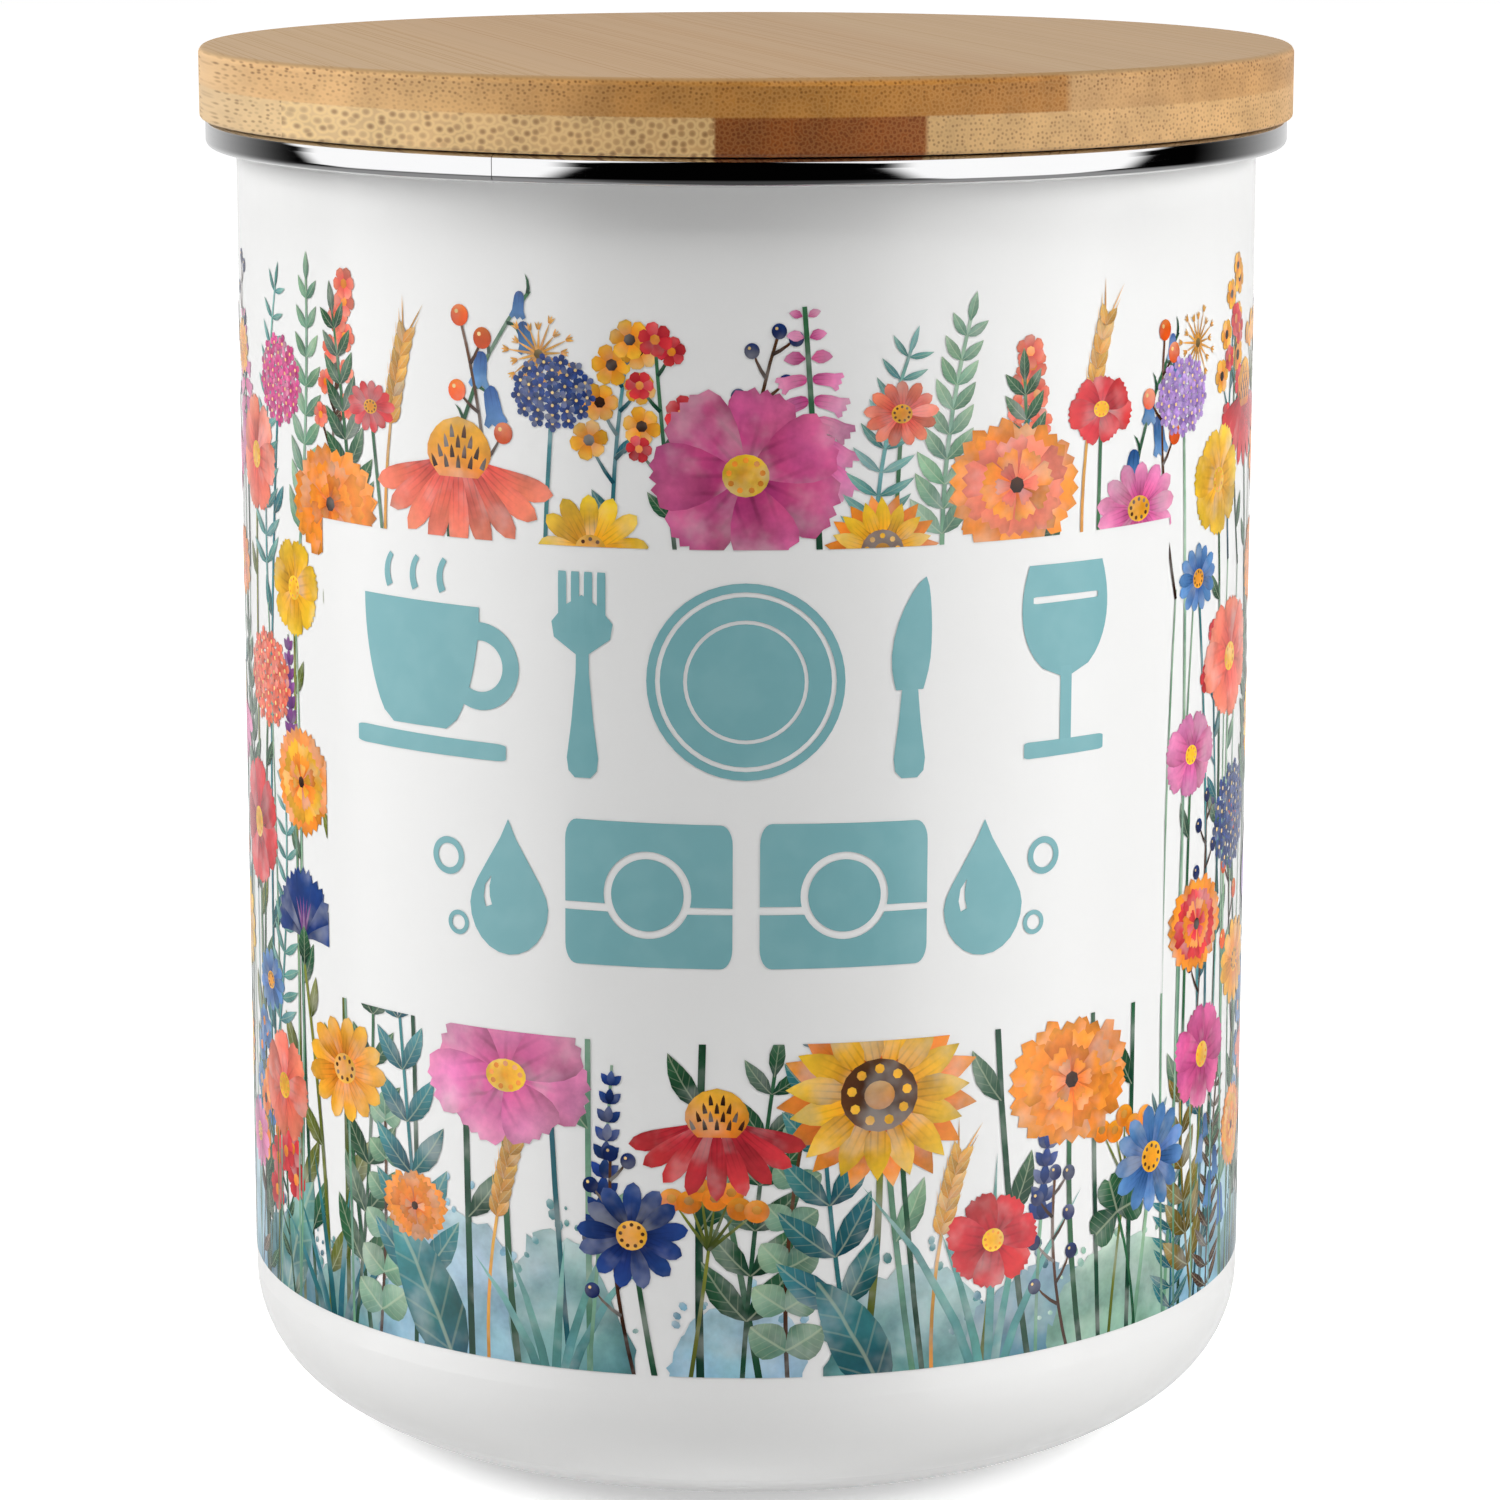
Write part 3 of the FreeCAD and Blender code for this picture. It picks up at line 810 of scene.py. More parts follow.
def tansy(x, z, height, name, lean=0.0, buttons=9):
    stem = stem_to(x, z, x + lean * height, z + height * 0.72, dice.uniform(-0.3, 0.3))
    stalk(stem, 0.5, "moss")
    x, z, turn = up(stem, 1.0)
    for k in range(buttons):
        angle = turn + (k - (buttons - 1) / 2) / ((buttons - 1) / 2) * 0.75
        reach = height * 0.28 * (1 - 0.16 * (k % 2))
        put(BLADE, x, z, angle, reach, 0.4, "moss")
        tip_x, tip_z = spoke(x, z, angle, reach)
        put(DISC, tip_x, tip_z, 0, 2.5, 2.7, ink(name, 0.12))
        put(DOT, tip_x, tip_z + 0.15, 0, 1.0, 1.1, "ochre")


def bells(x, z, height, name, lean=0.25, size=5.0):
    side = 1 if lean > 0 else -1
    stem = grow(x, z, height, lean, 0.9 * side, 0.55, "green")
    for k in range(5):
        x, z, turn = up(stem, 0.55 + 0.11 * k)
        out = side if k % 2 else -side * 0.5
        put(BLADE, x, z, turn + out * 0.9, size * 0.5, 0.4, "green", PLAIN, out * 1.6)
        grown = size * (1 - 0.1 * k)
        put(BELL, x + out * size * 0.42, z + size * 0.05, math.pi - out * 0.2, grown, grown * 0.62,
            name, STREAKED)


def lavender(x, z, height, name, lean=0.0):
    stem = grow(x, z, height, lean, dice.uniform(-0.3, 0.3), 0.45, "sage")
    for k in range(9):
        x, z, turn = up(stem, 0.5 + 0.055 * k)
        grown = 2.5 - 0.11 * k
        for out in (-1, 1, 0):
            put(BUD, x, z, turn + out * 0.75, grown, grown * 0.55, ink(name, 0.15))


def wheat(x, z, height, name, lean=0.0):
    stem = grow(x, z, height, lean, 0.4 if lean > 0 else -0.4, 0.45, name)
    for k in range(7):
        x, z, turn = up(stem, 0.66 + 0.05 * k)
        for out in (-1, 1):
            put(BLADE, x, z, turn + out * 0.3, 5.0, 0.22, name)
            put(BUD, x, z, turn + out * 0.5, 2.4, 1.15, ink(name, 0.12), VEINED)


def foxglove(x, z, height, name, lean=0.0):
    """Rows of hanging bells, each smaller than the one below, with buds at the tip."""
    stem = grow(x, z, height, lean, dice.uniform(-0.25, 0.25), 0.7, "green")
    for k in range(8):
        x, z, turn = up(stem, 0.97 - 0.065 * k)
        grown = 1.4 + 0.42 * k
        for out in (-1, 1):
            put(BELL if k > 2 else BUD, x + out * 0.3, z, turn + out * (1.0 + 0.16 * k), grown, grown * 0.62,
                name, STREAKED, out * 0.5)


def seed_clock(x, z, height, name, size=3.8):
    """A dandelion's ball of seeds, as spokes with a tuft at each end."""
    z += height
    for k in range(17):
        angle = 2 * math.pi * k / 17
        reach = size * (1.0 if k % 2 else 0.74)
        put(BLADE, x, z, angle, reach, 0.3, name)
        for out in (-0.5, 0, 0.5):
            put(BLADE, *spoke(x, z, angle, reach * 0.9), angle + out, size * 0.22, 0.3, name)
    put(DOT, x, z, 0, size * 0.28, size * 0.28, "olive")


print("spikes and sprays ready")

# %% [markdown]
# The meadow is laid out round the front, where it is seen most: a row of tall heads above the white
# panel, flowers at its sides and a low row under it. A row gives a head's place in mm, its flower, its size
# and its ink. The panel and the foot line will cut across whatever lies under them, as they do on a printed
# decal. The back repeats the idea mirrored, in other inks, and fills the middle too.

# %% meadow plan
CAN_RADIUS = 56.1
ROUND = 2 * math.pi * CAN_RADIUS
FOOT_LINE = 17.9
PANEL = (-51.6, 51.6, 53.8, 105.4)
FROM_THE_SIDE = (coneflower, cornflower)
FRONT_HEADS = (
    (-85, 111, coneflower, 8.0, "rose"), (-76, 121, daisy, 3.6, "amber"), (-69, 110, cosmos, 6.5, "coral"),
    (-61, 119, allium, 5.2, "rose"), (-50, 107, marigold, 7.5, "orange"), (-43, 118, daisy, 3.6, "red"),
    (-31, 113, coneflower, 9.5, "coral"), (-20, 121, allium, 4.4, "navy"), (-16, 105, daisy, 6.0, "yellow"),
    (0, 113, cosmos, 10.0, "rose"), (14, 105, sunflower, 6.0, "yellow"), (16, 119, daisy, 4.0, "coral"),
    (29, 111, marigold, 8.0, "coral"), (40, 118, cosmos, 4.6, "red"), (46, 107, daisy, 6.5, "pink"),
    (54, 118, allium, 5.0, "lilac"), (63, 108, cosmos, 6.5, "yellow"), (73, 116, coneflower, 8.0, "red"),
    (84, 109, daisy, 6.5, "orange"),
    (-58, 97, cosmos, 5.5, "yellow"), (-66, 86, allium, 6.5, "coral"), (-79, 97, daisy, 5.5, "orange"),
    (-57, 76, marigold, 6.0, "amber"), (-71, 69, cosmos, 7.5, "red"), (-83, 81, coneflower, 8.0, "pink"),
    (-57, 59, cornflower, 7.5, "navy"), (-81, 56, daisy, 6.5, "yellow"), (-67, 52, daisy, 4.5, "blue"),
    (58, 98, daisy, 4.5, "blue"), (68, 88, cosmos, 8.0, "coral"), (81, 97, marigold, 6.0, "orange"),
    (57, 79, cosmos, 5.5, "pink"), (70, 70, allium, 6.5, "navy"), (84, 79, sunflower, 7.5, "yellow"),
    (59, 60, marigold, 6.5, "red"), (73, 53, daisy, 6.5, "amber"), (85, 61, cosmos, 7.0, "lilac"),
    (-84, 42, sunflower, 7.0, "yellow"), (-74, 33, daisy, 5.0, "pink"), (-63, 41, cosmos, 6.5, "coral"),
    (-49, 46, daisy, 7.0, "amber"), (-38, 33, marigold, 4.5, "orange"), (-26, 49, cosmos, 10.0, "pink"),
    (-12, 33, daisy, 6.0, "navy"), (-3, 45, coneflower, 8.0, "red"), (14, 48, sunflower, 11.0, "yellow"),
    (27, 31, cosmos, 5.5, "red"), (37, 47, marigold, 8.5, "orange"), (50, 36, daisy, 6.5, "blue"),
    (61, 45, cosmos, 6.5, "rose"), (73, 34, marigold, 5.0, "amber"), (84, 44, coneflower, 8.0, "coral"),
)
BACK_MIDDLE = (
    (-42, 92, cosmos, 8.5, "pink"), (-28, 76, daisy, 7.0, "amber"), (-12, 93, coneflower, 9.0, "rose"),
    (2, 74, allium, 7.0, "lilac"), (17, 94, daisy, 8.0, "coral"), (31, 78, cosmos, 7.5, "navy"),
    (44, 92, sunflower, 8.0, "yellow"), (-42, 62, cornflower, 8.0, "blue"), (-14, 60, cosmos, 7.0, "red"),
    (15, 61, marigold, 7.0, "yellow"), (40, 61, coneflower, 8.0, "coral"),
)
OTHER_INK = {"pink": "amber", "rose": "yellow", "coral": "pink", "red": "orange", "orange": "rose",
             "amber": "coral", "yellow": "pink", "navy": "blue", "blue": "lilac", "lilac": "navy"}
heads = list(FRONT_HEADS)
heads += [(ROUND / 2 - x, z, flower, size, OTHER_INK[name])
          for x, z, flower, size, name in FRONT_HEADS if abs(x) < 80]
heads += [(ROUND / 2 + x, *head) for x, *head in BACK_MIDDLE]
print("flower heads", len(heads))

# %% [markdown]
# The table is laid from the back forwards: pale washes of spattered ink along the ground, the stems of the
# heads, the sprigs between them, and the heads last, the lower ones over the higher. Each list of sprigs is
# walked in even steps round the tin, so that neighbours differ. A row gives a sprig, the least and the most
# of its height in mm, its ink, and then its own lean, size or count.

# %% washes and stems
WASHES = ("wash_blue", "wash_teal", "wash_deep", "wash_sage", "wash_blue", "wash_deep", "wash_teal")
WASH_COUNT, SPATTER = 23, 16
LEAFY_FROM = 56
for k in range(WASH_COUNT):
    x = ROUND * (k + dice.uniform(-0.25, 0.25)) / WASH_COUNT
    wide, tall = dice.uniform(12, 22), dice.uniform(14, 36)
    name = WASHES[k % len(WASHES)]
    put(BLOTS[k % len(BLOTS)], x, FOOT_LINE, dice.uniform(-0.3, 0.3), tall, wide, name)
    for _ in range(SPATTER):
        angle = dice.uniform(-1.3, 1.3)
        reach = dice.uniform(0.98, 1.25)
        size = dice.uniform(0.35, 1.0)
        put(DOT, x + wide * 0.5 * reach * math.sin(angle), FOOT_LINE + tall * 0.5 * reach * math.cos(angle),
            angle, size * 1.3, size, name)
for x, z, flower, size, name in heads:
    drop = size * 0.4 if flower in FROM_THE_SIDE else 0
    stem = stem_to(x + dice.uniform(-5, 5), FOOT_LINE - 4, x, z - drop, dice.uniform(-0.3, 0.3))
    green = dice.choice(("green", "moss", "teal", "green", "sage"))
    stalk(stem, 0.45 + 0.04 * size, green)
    if z > LEAFY_FROM and size > 5:
        leaves_on(stem, (0.2, 0.86), max(2, int(z / 17)), 7.5, 2.7, 0.7, green, by_turns=True)
print("paper so far", len(meadow))

# %% sprigs between the flowers
LOW = (
    (sprig, 30, 42, "green", 0.1, 1.15), (grass, 20, 32, "sea"), (fern, 24, 36, "teal", -0.12),
    (posy, 24, 36, "orange", 0.1), (coin_leaf, 22, 32, "sage", 0.05), (lavender, 26, 38, "navy", 0.08),
    (sprig, 26, 40, "olive", -0.15, 1.0), (broad_leaf, 16, 22, "sea", 0.3, 0.3),
    (sprig, 28, 42, "teal", -0.1, 1.25), (berries, 22, 31, "navy", -0.12, 1.4), (fern, 24, 34, "brown", 0.1),
    (posy, 18, 28, "red", -0.15, 2.3), (broad_leaf, 14, 22, "teal", -0.35, -0.3),
    (tansy, 22, 30, "amber", 0.1, 7), (bells, 22, 28, "blue", -0.3, 4.2), (grass, 18, 28, "teal", 6),
    (wheat, 24, 34, "ochre", 0.12), (clover, 14, 22, "green", -0.2), (posy, 26, 38, "blue", 0.12, 2.2, 7),
)
HIGH = (
    (berries, 29, 37, "navy", 0.1, 1.3, 9), (sprig, 26, 35, "green", -0.12, 0.85, 8),
    (posy, 28, 35, "amber", 0.06, 2.0, 7), (foxglove, 28, 36, "pink", -0.06), (wheat, 24, 31, "ochre", 0.1),
    (posy, 25, 33, "red", -0.1, 1.8), (fern, 26, 36, "sea", 0.12), (bells, 26, 33, "blue", 0.28, 4.2),
    (tansy, 27, 34, "yellow", 0.06), (sprig, 27, 37, "sage", 0.1, 0.75, 9),
    (berries, 25, 33, "orange", -0.1, 1.8, 5), (lavender, 27, 36, "plum", -0.06),
    (posy, 28, 36, "coral", 0.1, 1.7, 9), (seed_clock, 26, 31, "ochre"),
)
LOW_COUNT, HIGH_COUNT, MIDDLE_COUNT = 66, 54, 34
HIGH_AT, MIDDLE_FROM, MIDDLE_AT = 97, 58, 42


def plant(row, x, z):
    kind, least, most, *rest = row
    kind(x, z, dice.uniform(least, most), *rest)


def held_up(number, x, z):
    """A high sprig, on a thin stem from the ground unless the white panel hides where it starts."""
    if abs((x + ROUND / 2) % ROUND - ROUND / 2) > PANEL[1] - 4:
        from_ground = stem_to(x + dice.uniform(-3, 3), FOOT_LINE - 4, x, z + 1, dice.uniform(-0.15, 0.15))
        stalk(from_ground, 0.42, ("sage", "moss", "sea")[number % 3])
    plant(HIGH[number % len(HIGH)], x, z)


for k in range(LOW_COUNT):
    plant(LOW[(k * 4) % len(LOW)], ROUND * (k + dice.uniform(-0.3, 0.3)) / LOW_COUNT, FOOT_LINE - 3)
for k in range(HIGH_COUNT):
    held_up(k * 3, ROUND * (k + dice.uniform(-0.3, 0.3)) / HIGH_COUNT, HIGH_AT + dice.uniform(-3, 2))
for k in range(MIDDLE_COUNT):
    x = MIDDLE_FROM + (ROUND - 2 * MIDDLE_FROM) * k / (MIDDLE_COUNT - 1)
    held_up(k * 5, x, MIDDLE_AT + 22 * (k % 2) + dice.uniform(-3, 3))
for x, z, flower, size, name in sorted(heads, key=lambda head: -head[1]):
    squash = dice.uniform(0.74, 1.0)
    if flower in FROM_THE_SIDE:
        flower(x, z, size, name)
    else:
        flower(x, z, size, name, squash)
print("papers on the table", len(meadow))

# %% [markdown]
# Layers a hundredth of a millimetre apart would flicker, and fired ink is one skin, so the table is pressed
# flat. A Delaunay triangulation keeps every outline, and each small face is marked with the topmost paper
# over it. Faces below the foot line, on the panel or under a mask are left out. It is done a sector of the
# tin at a time, and each sector has upright seams, along which the sheet will bend.

# %% pressing
SECTORS, SEAMS_PER_SECTOR = 12, 8
PRINT_LIFT = 0.045
WRAP = CAN_RADIUS + PRINT_LIFT
CHART_FOOT, CHART_TOP = 15, 140
SAME_PLACE = 1e-4
MASK = ((1, 1, 1), (1, 1, 1))


def guide_lines(left, right, foot, window):
    """The upright seams of a sector, the foot line and the panel's edges, as pairs of points."""
    step = (right - left) / SEAMS_PER_SECTOR
    seams = [left + step * k for k in range(SEAMS_PER_SECTOR + 1)]
    pairs = [((x, foot - 1), (x, CHART_TOP)) for x in seams]
    pairs.append(((left, foot), (right, foot)))
    if window and max(window[0], left) < min(window[1], right):
        ends = max(window[0], left), min(window[1], right)
        pairs += [((ends[0], z), (ends[1], z)) for z in window[2:]]
        pairs += [((x, window[2]), (x, window[3])) for x in window[:2] if left <= x <= right]
    return pairs


def press_sector(table, left, right, foot, window):
    """Triangulates what lies in a sector: the kept faces' corners, and the topmost paper over each."""
    points, faces, papers = [], [], []
    for number, (outline, *_) in enumerate(table):
        for shift in (-ROUND, 0, ROUND):
            low, high = outline[:, 0].min() + shift, outline[:, 0].max() + shift
            if low < right and high > left and outline[:, 1].max() > foot:
                faces.append(tuple(range(len(points), len(points) + len(outline))))
                points += [(x + shift, z) for x, z in outline.tolist()]
                papers.append(number)
    edges = []
    for pair in guide_lines(left, right, foot, window):
        edges.append((len(points), len(points) + 1))
        points += pair
    points = [Vector(p) for p in points]
    found, _, triangles, _, _, owners = delaunay_2d_cdt(points, edges, faces, 0, SAME_PLACE, True)
    found, triangles = np.array([tuple(p) for p in found]), np.array(triangles)
    top = np.array([papers[max(o)] if o else -1 for o in owners])
    x, z = found[triangles].mean(axis=1).T
    keep = (top >= 0) & (x > left) & (x < right) & (z > foot)
    keep &= ~np.isin(top, [n for n, copy in enumerate(table) if copy[2] is MASK])
    if window:
        keep &= ~((x > window[0]) & (x < window[1]) & (z > window[2]) & (z < window[3]))
    return found[triangles[keep]], top[keep]


print("sectors", SECTORS, "with seams every", round(ROUND / SECTORS / SEAMS_PER_SECTOR, 2), "mm")

# %% [markdown]
# A limited dissolve then melts what lies hidden, because it stops only where the mark changes and at the
# seams. What is left learns where each corner lies on its own paper, by unrolling the paper's curl, so that
# the brush marks can follow every leaf and petal.

# %% inking
SEAM_SLACK, FLAT_WITHIN = 1e-3, 0.002
GOLDEN = 0.618034


def read(items, what, size, kind=float):
    """A value of every vertex, edge, loop or face, as an array with a row for each."""
    values = np.zeros(len(items) * size, kind)
    items.foreach_get(what, values)
    return values.reshape(-1, size)


def melt_hidden(sheet):
    """Dissolves what no longer shows, keeping the marks' outlines and the seams."""
    mesh = sheet.data
    across = read(mesh.vertices, "co", 3)[read(mesh.edges, "vertices", 2, int), 0] / MM * CAN_RADIUS / WRAP
    step = ROUND / SECTORS / SEAMS_PER_SECTOR
    on_seam = (np.abs(across / step - np.round(across / step)) < SEAM_SLACK).all(axis=1)
    on_seam &= np.abs(across[:, 0] - across[:, 1]) < SEAM_SLACK
    mesh.edges.foreach_set("use_seam", on_seam)
    stops = {"delimit": {"MATERIAL", "SEAM"}, "use_dissolve_boundaries": False}
    edit(
        (bpy.ops.mesh.dissolve_limited, {"angle_limit": FLAT_WITHIN, **stops}),
        (bpy.ops.mesh.quads_convert_to_tris, {"ngon_method": "BEAUTY"}),
    )


def own_place(table, papers, x, z):
    """Where a point lies on its own paper: across it and along it, by unrolling the paper's curl."""
    foot_x, foot_z, lean, curl, length, width = np.array([copy[1] for copy in table])[papers].T
    x = x + np.round((foot_x - x) / ROUND) * ROUND
    radius = length / curl
    away_x, away_z = x - foot_x - radius * np.cos(lean), z - foot_z + radius * np.sin(lean)
    side = -np.sign(radius)
    turn = np.arctan2(-away_z * side, away_x * side)
    turned = (turn - lean + math.pi) % (2 * math.pi) - math.pi
    return (radius + side * np.hypot(away_x, away_z)) / width, turned / curl


def ink_sheet(table, mesh):
    """Writes each corner's place on its paper, its ink and its kind, and a chart for baking in two rows."""
    papers = np.repeat(read(mesh.polygons, "material_index", 1, int)[:, 0], 3)
    at = read(mesh.vertices, "co", 3)[read(mesh.loops, "vertex_index", 1, int)[:, 0]]
    x, z = at[:, (0, 2)].T / MM * np.array([[CAN_RADIUS / WRAP], [1]])
    across, along = own_place(table, papers, x, z)
    mesh.uv_layers.new(name="brush").data.foreach_set("uv", np.column_stack((across, along)).ravel())
    upper_row = np.repeat(np.abs(x.reshape(-1, 3).mean(axis=1)) > ROUND / 4, 3)
    chart_u = np.where(upper_row, np.mod(x, ROUND) - ROUND / 4, x + ROUND / 4) / (ROUND / 2)
    chart_v = (z - CHART_FOOT) / (CHART_TOP - CHART_FOOT) * 0.5 + upper_row * 0.5
    chart = np.column_stack((chart_u, chart_v)) * 0.98 + 0.01
    mesh.uv_layers.new(name="OFBake").data.foreach_set("uv", chart.ravel())
    foot_ink, tip_ink = (np.array([copy[2][k] for copy in table])[papers] for k in (0, 1))
    kinds = np.array([copy[3] for copy in table])
    is_round = (kinds == ROUNDED)[papers]
    share = np.clip(np.where(is_round, 2 * np.hypot(across, along), along), 0, 1)[:, None]
    inks = np.ones((len(papers), 4))
    inks[:, :3] = foot_ink + (tip_ink - foot_ink) * share
    mesh.attributes.new("ink", "FLOAT_COLOR", "CORNER").data.foreach_set("color", inks.ravel())
    loads = np.array([0.49 * (k * GOLDEN % 1) for k in range(len(table))])
    mesh.attributes.new("kind", "FLOAT", "CORNER").data.foreach_set("value", (kinds + loads)[papers])
    mesh.polygons.foreach_set("material_index", np.zeros(len(mesh.polygons), int))


print("a paper's own map and its ink are kept on each corner")

# %% [markdown]
# Last, the sheet is bent round the tin, a few hundredths of a millimetre proud of the white. The bend turns
# the whole width of a mesh into a full circle, so two loose points mark the full width while it works.

# %% wrapping
MERGE = {"threshold": 0.000001}


def press(table, title, foot, window=None):
    """One thin sheet from a table of paper, wrapped round the tin."""
    corners, papers = [], []
    for k in range(SECTORS):
        left = ROUND * (k / SECTORS - 0.5)
        found, on_top = press_sector(table, left, left + ROUND / SECTORS, foot, window)
        corners.append(found.reshape(-1, 2))
        papers.append(on_top)
    corners = np.concatenate(corners)
    flat = np.column_stack((corners[:, 0] * WRAP / CAN_RADIUS, np.zeros(len(corners)), corners[:, 1])) * MM
    mesh = bpy.data.meshes.new(title)
    mesh.from_pydata(flat, [], np.arange(len(flat)).reshape(-1, 3))
    mesh.polygons.foreach_set("material_index", np.concatenate(papers))
    sheet = bpy.data.objects.new(title, mesh)
    bpy.context.collection.objects.link(sheet)
    bpy.ops.object.select_all(action="DESELECT")
    sheet.select_set(True)
    bpy.context.view_layer.objects.active = sheet
    edit((bpy.ops.mesh.remove_doubles, MERGE))
    print(title, "pressed into", len(mesh.polygons), "faces")
    melt_hidden(sheet)
    print(title, "melted to", len(mesh.polygons), "faces")
    ink_sheet(table, mesh)
    mesh.vertices.add(2)
    for vertex, end in zip(mesh.vertices[-2:], (-1, 1)):
        vertex.co = (end * math.pi * WRAP * MM, 0, 0.1)
    bend = sheet.modifiers.new("round_the_tin", "SIMPLE_DEFORM")
    bend.deform_method, bend.deform_axis, bend.angle = "BEND", "Z", 2 * math.pi
    bpy.ops.object.modifier_apply(modifier=bend.name)
    edit(
        (bpy.ops.transform.translate, {"value": (0, -WRAP * MM, 0)}),
        (bpy.ops.mesh.remove_doubles, MERGE),
        (bpy.ops.mesh.delete_loose, {}),
        (bpy.ops.mesh.mark_seam, {"clear": True}),
    )
    bpy.ops.object.shade_smooth()
    outward = [Vector((v.co.x, v.co.y, 0)).normalized() for v in sheet.data.vertices]
    sheet.data.normals_split_custom_set_from_vertices(outward)
    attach(sheet, "tin")
    return sheet


meadow_print = press(meadow, "meadow_print", FOOT_LINE, PANEL)
off_axis = [math.hypot(v.co.x, v.co.y) / MM for v in meadow_print.data.vertices]
print("meadow sheet from", round(min(off_axis), 4), "to", round(max(off_axis), 4), "mm off the axis")

# %% [markdown]
# Fired ink is transparent colour in glass. A load of ink is never even: here it is thinned with water and
# there it gathers, its hue drifts, it grains, and it dries darker along its edges. Leaves get a rib and side
# veins from their own map, petals get streaks that start at the foot. Gloss and ripple are the glaze's, as on
# the white.

# %% fired ink
fired, tree, shader, place, _ = new_glazed("fired_ink")
ink_at = add(tree, "ShaderNodeAttribute", attribute_name="ink").outputs["Color"]
kind = add(tree, "ShaderNodeAttribute", attribute_name="kind").outputs["Fac"]
brush_at = split(add(tree, "ShaderNodeUVMap", uv_map="brush").outputs[0])
off_rib = sums("ABSOLUTE", brush_at["X"])
foot_to_tip = brush_at["Y"]
is_leaf = sums("COMPARE", kind, VEINED, 0.5)
is_petal = sums("COMPARE", kind, STREAKED, 0.5)
rib = fade(off_rib, 0.045, 0.015)
slant = sums("MULTIPLY_ADD", off_rib, -2.6, times(foot_to_tip, 6.0))
vein = fade(sums("PINGPONG", slant, 0.5), 0.09, 0.03)
veins = times(sums("MAXIMUM", rib, times(vein, 0.45)), is_leaf)
streak = fade(sums("PINGPONG", times(brush_at["X"], 4.0), 0.5), 0.2, 0.03)
streaks = times(times(streak, fade(foot_to_tip, 0.8, 0.1)), is_petal)
edges = sums("MAXIMUM", fade(off_rib, 0.30, 0.5), fade(foot_to_tip, 0.84, 1.0))
brush_load = times(sums("FRACT", kind), 97.0)
gathers, thins, grains = (noise(place, *scale, W=brush_load) for scale in ((170, 2), (210, 3), (1500, 2)))
depth = fade(gathers["Fac"], 0.34, 0.64, 0.70, 1.10)
right_half = times(sums("GREATER_THAN", brush_at["X"], 0.0), is_leaf)
grain_off = sums("SUBTRACT", grains["Fac"], 0.5)
for mark, weight in ((grain_off, 0.35), (edges, -0.14), (streaks, -0.25), (right_half, -0.14)):
    depth = sums("MULTIPLY_ADD", mark, weight, depth)
tone = darken(blend(0.32, ink_at, gathers["Color"], "SOFT_LIGHT"), depth)
tone = blend(fade(thins["Fac"], 0.46, 0.74, 0.0, 0.24), tone, linear(244, 244, 240))
tone = blend(times(veins, 0.34), tone, linear(206, 214, 180))
feed(tone, shader.inputs["Base Color"])
meadow_print.data.materials.append(fired)
print("meadow finish", fired.name)

# %% [markdown]
# The white panel says what the tin is for. Here it says so without words: a plate between fork and knife, a
# cup and a glass, and under them water drops and two pressed tablets. It is one flat teal ink, printed in the
# same pass. A mask is paper that prints nothing: it cuts the plate's rim line, the tablets' layers and the
# highlights.

# %% panel paper
quarter = [math.radians(15 * k) for k in range(7)]
corner = [(0.14 * (1 - math.cos(a)), 0.86 + 0.14 * math.sin(a)) for a in quarter]
BLOCK = cut_out(corner + [(1 - height, width) for height, width in reversed(corner)], (0, 0))
CUP = cut_out([(k / 12, 0.46 + 0.54 * math.sin(math.pi / 24 * k) ** 0.55) for k in range(13)], (0, 0))
BOWL = cut_out([(k / 12, 0.12 + 0.88 * math.sin(math.pi * (k / 12) ** 0.75 * 0.72) ** 0.7)
                for k in range(13)], (0, 0))
DROP = cut_out([(0.36 * (1 - math.cos(a)), math.sin(a)) for a in quarter]
               + [(0.44, 0.95), (0.54, 0.8), (0.7, 0.5), (0.86, 0.2), (1, 0)], (0, 0))
HANDLE = cut_out(((0, 0.5), (0.05, 0.9), (0.14, 1), (0.4, 0.7), (0.75, 0.42), (1, 0.4)), (0, 0))
KNIFE = cut_out(lobe(9, 0.3, 0.7, 0, 0.7))
BIG_DISC = round_paper(48)
TEAL = (linear(120, 174, 180)[:3], linear(124, 178, 184)[:3])
pictures = []


def show(paper, x, z, height, width, inks=TEAL, lean=0.0, curl=0.0):
    lay(pictures, paper, x, z, lean, height, width, inks, PLAIN, curl)


def discs(x, z, *radii):
    """Discs one on another: ink, bare, ink, bare."""
    for k, radius in enumerate(radii):
        show(BIG_DISC, x, z, 2 * radius, 2 * radius, MASK if k % 2 else TEAL)


print("panel paper cut")

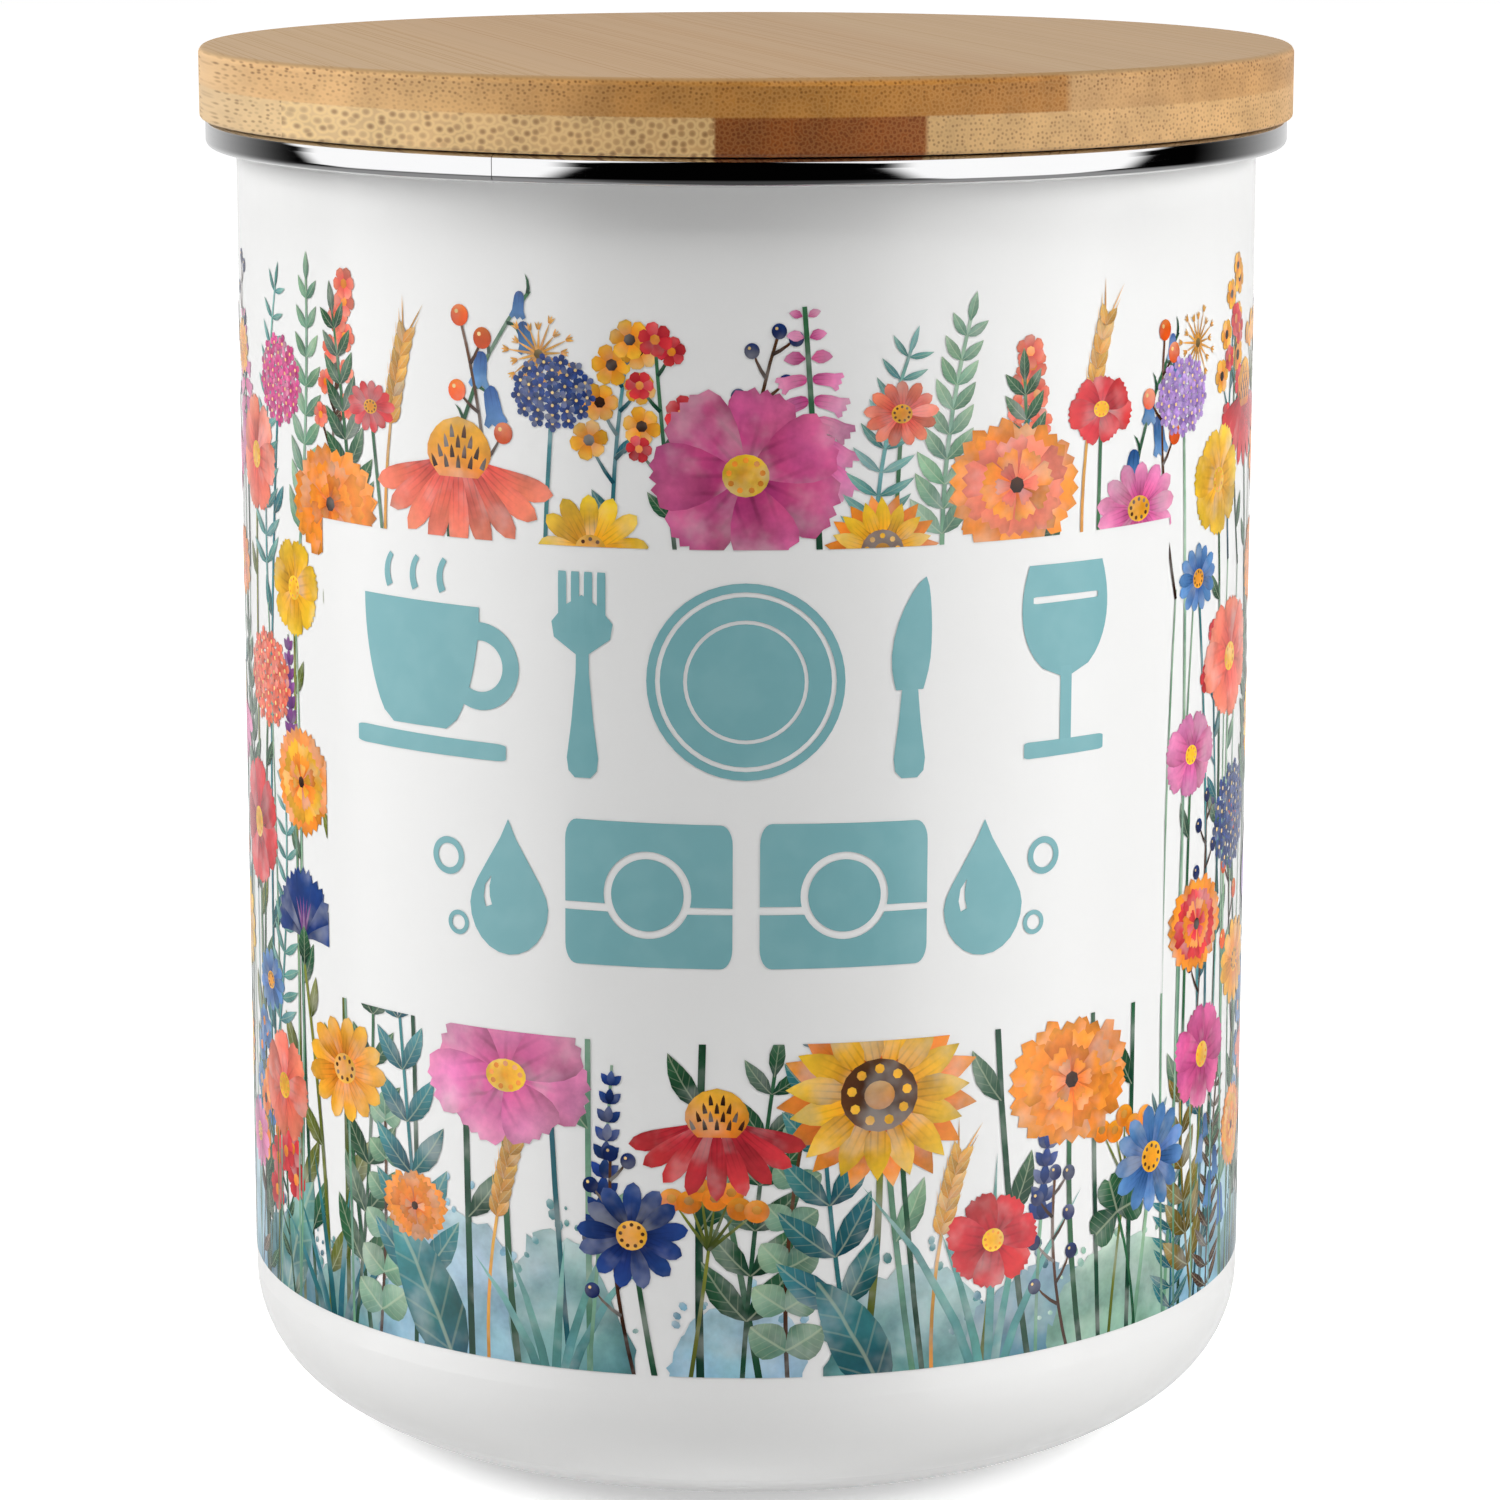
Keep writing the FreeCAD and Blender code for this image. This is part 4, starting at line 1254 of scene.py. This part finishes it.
# %% panel pictures
ROW_1, ROW_2 = 91.8, 69.4
FORK, CUP_AT, GLASS, TABLET, WATER = -17, -36.5, 35.5, 10.2, 25.5
discs(0, ROW_1, 10.2, 9.3, 8.8, 6.4, 6.0)
for side in (-1, 1):
    show(HANDLE, side * 17, ROW_1 - 10.4, 14.5, 3.4)
show(BUD, FORK, ROW_1 + 2.2, 6.4, 6.6)
for k in range(4):
    show(BLOCK, FORK - 2.1 + 1.4 * k, ROW_1 + 4.6, 6.4, 0.9)
show(KNIFE, 17.0, ROW_1 - 1.2, 11.8, 4.2, TEAL, 0.0, 0.3)
discs(-28.6, ROW_1 + 0.4, 4.6, 2.7)
show(CUP, CUP_AT, ROW_1 - 6.6, 13.2, 15.6)
show(BLOCK, CUP_AT + 0.9, ROW_1 - 9.4, 1.9, 20.0)
for k in range(3):
    show(STALK, CUP_AT - 3.9 + 3.6 * k, ROW_1 + 7.8, 3.6, 0.9, TEAL, -0.5, 1.2)
show(BOWL, GLASS, ROW_1 - 1.2, 11.8, 11.4)
show(BLOCK, GLASS, ROW_1 - 8.6, 8.4, 1.5)
show(BLOCK, GLASS, ROW_1 - 9.6, 1.7, 10.6)
show(BLOCK, GLASS, ROW_1 + 6.6, 0.7, 8.6, MASK)
for side in (-1, 1):
    show(BLOCK, side * TABLET, ROW_2 - 7.6, 15.2, 17.6)
    show(BLOCK, side * TABLET, ROW_2 - 1.9, 0.8, 18.6, MASK)
    discs(side * TABLET, ROW_2, 0.01, 4.6, 3.8)
    show(DROP, side * WATER, ROW_2 - 7.4, 14.4, 9.2)
    show(BLADE, side * WATER - 2.3, ROW_2 - 2.4, 3.4, 0.8, MASK, -0.4, 1.0)
    discs(side * 32.8, ROW_2 + 2.4, 2.0, 1.3)
    discs(side * 31.6, ROW_2 - 4.6, 1.3, 0.8)
panel_pictures = press(pictures, "panel_pictures", FOOT_LINE)

teal, tree, shader, place, _ = new_glazed("fired_teal")
ink_at = add(tree, "ShaderNodeAttribute", attribute_name="ink").outputs["Color"]
uneven = fade(noise(place, 240)["Fac"], 0.4, 0.7, 0.0, 0.25)
feed(blend(uneven, ink_at, linear(144, 192, 196)), shader.inputs["Base Color"])
panel_pictures.data.materials.append(teal)
print("panel finish", teal.name)
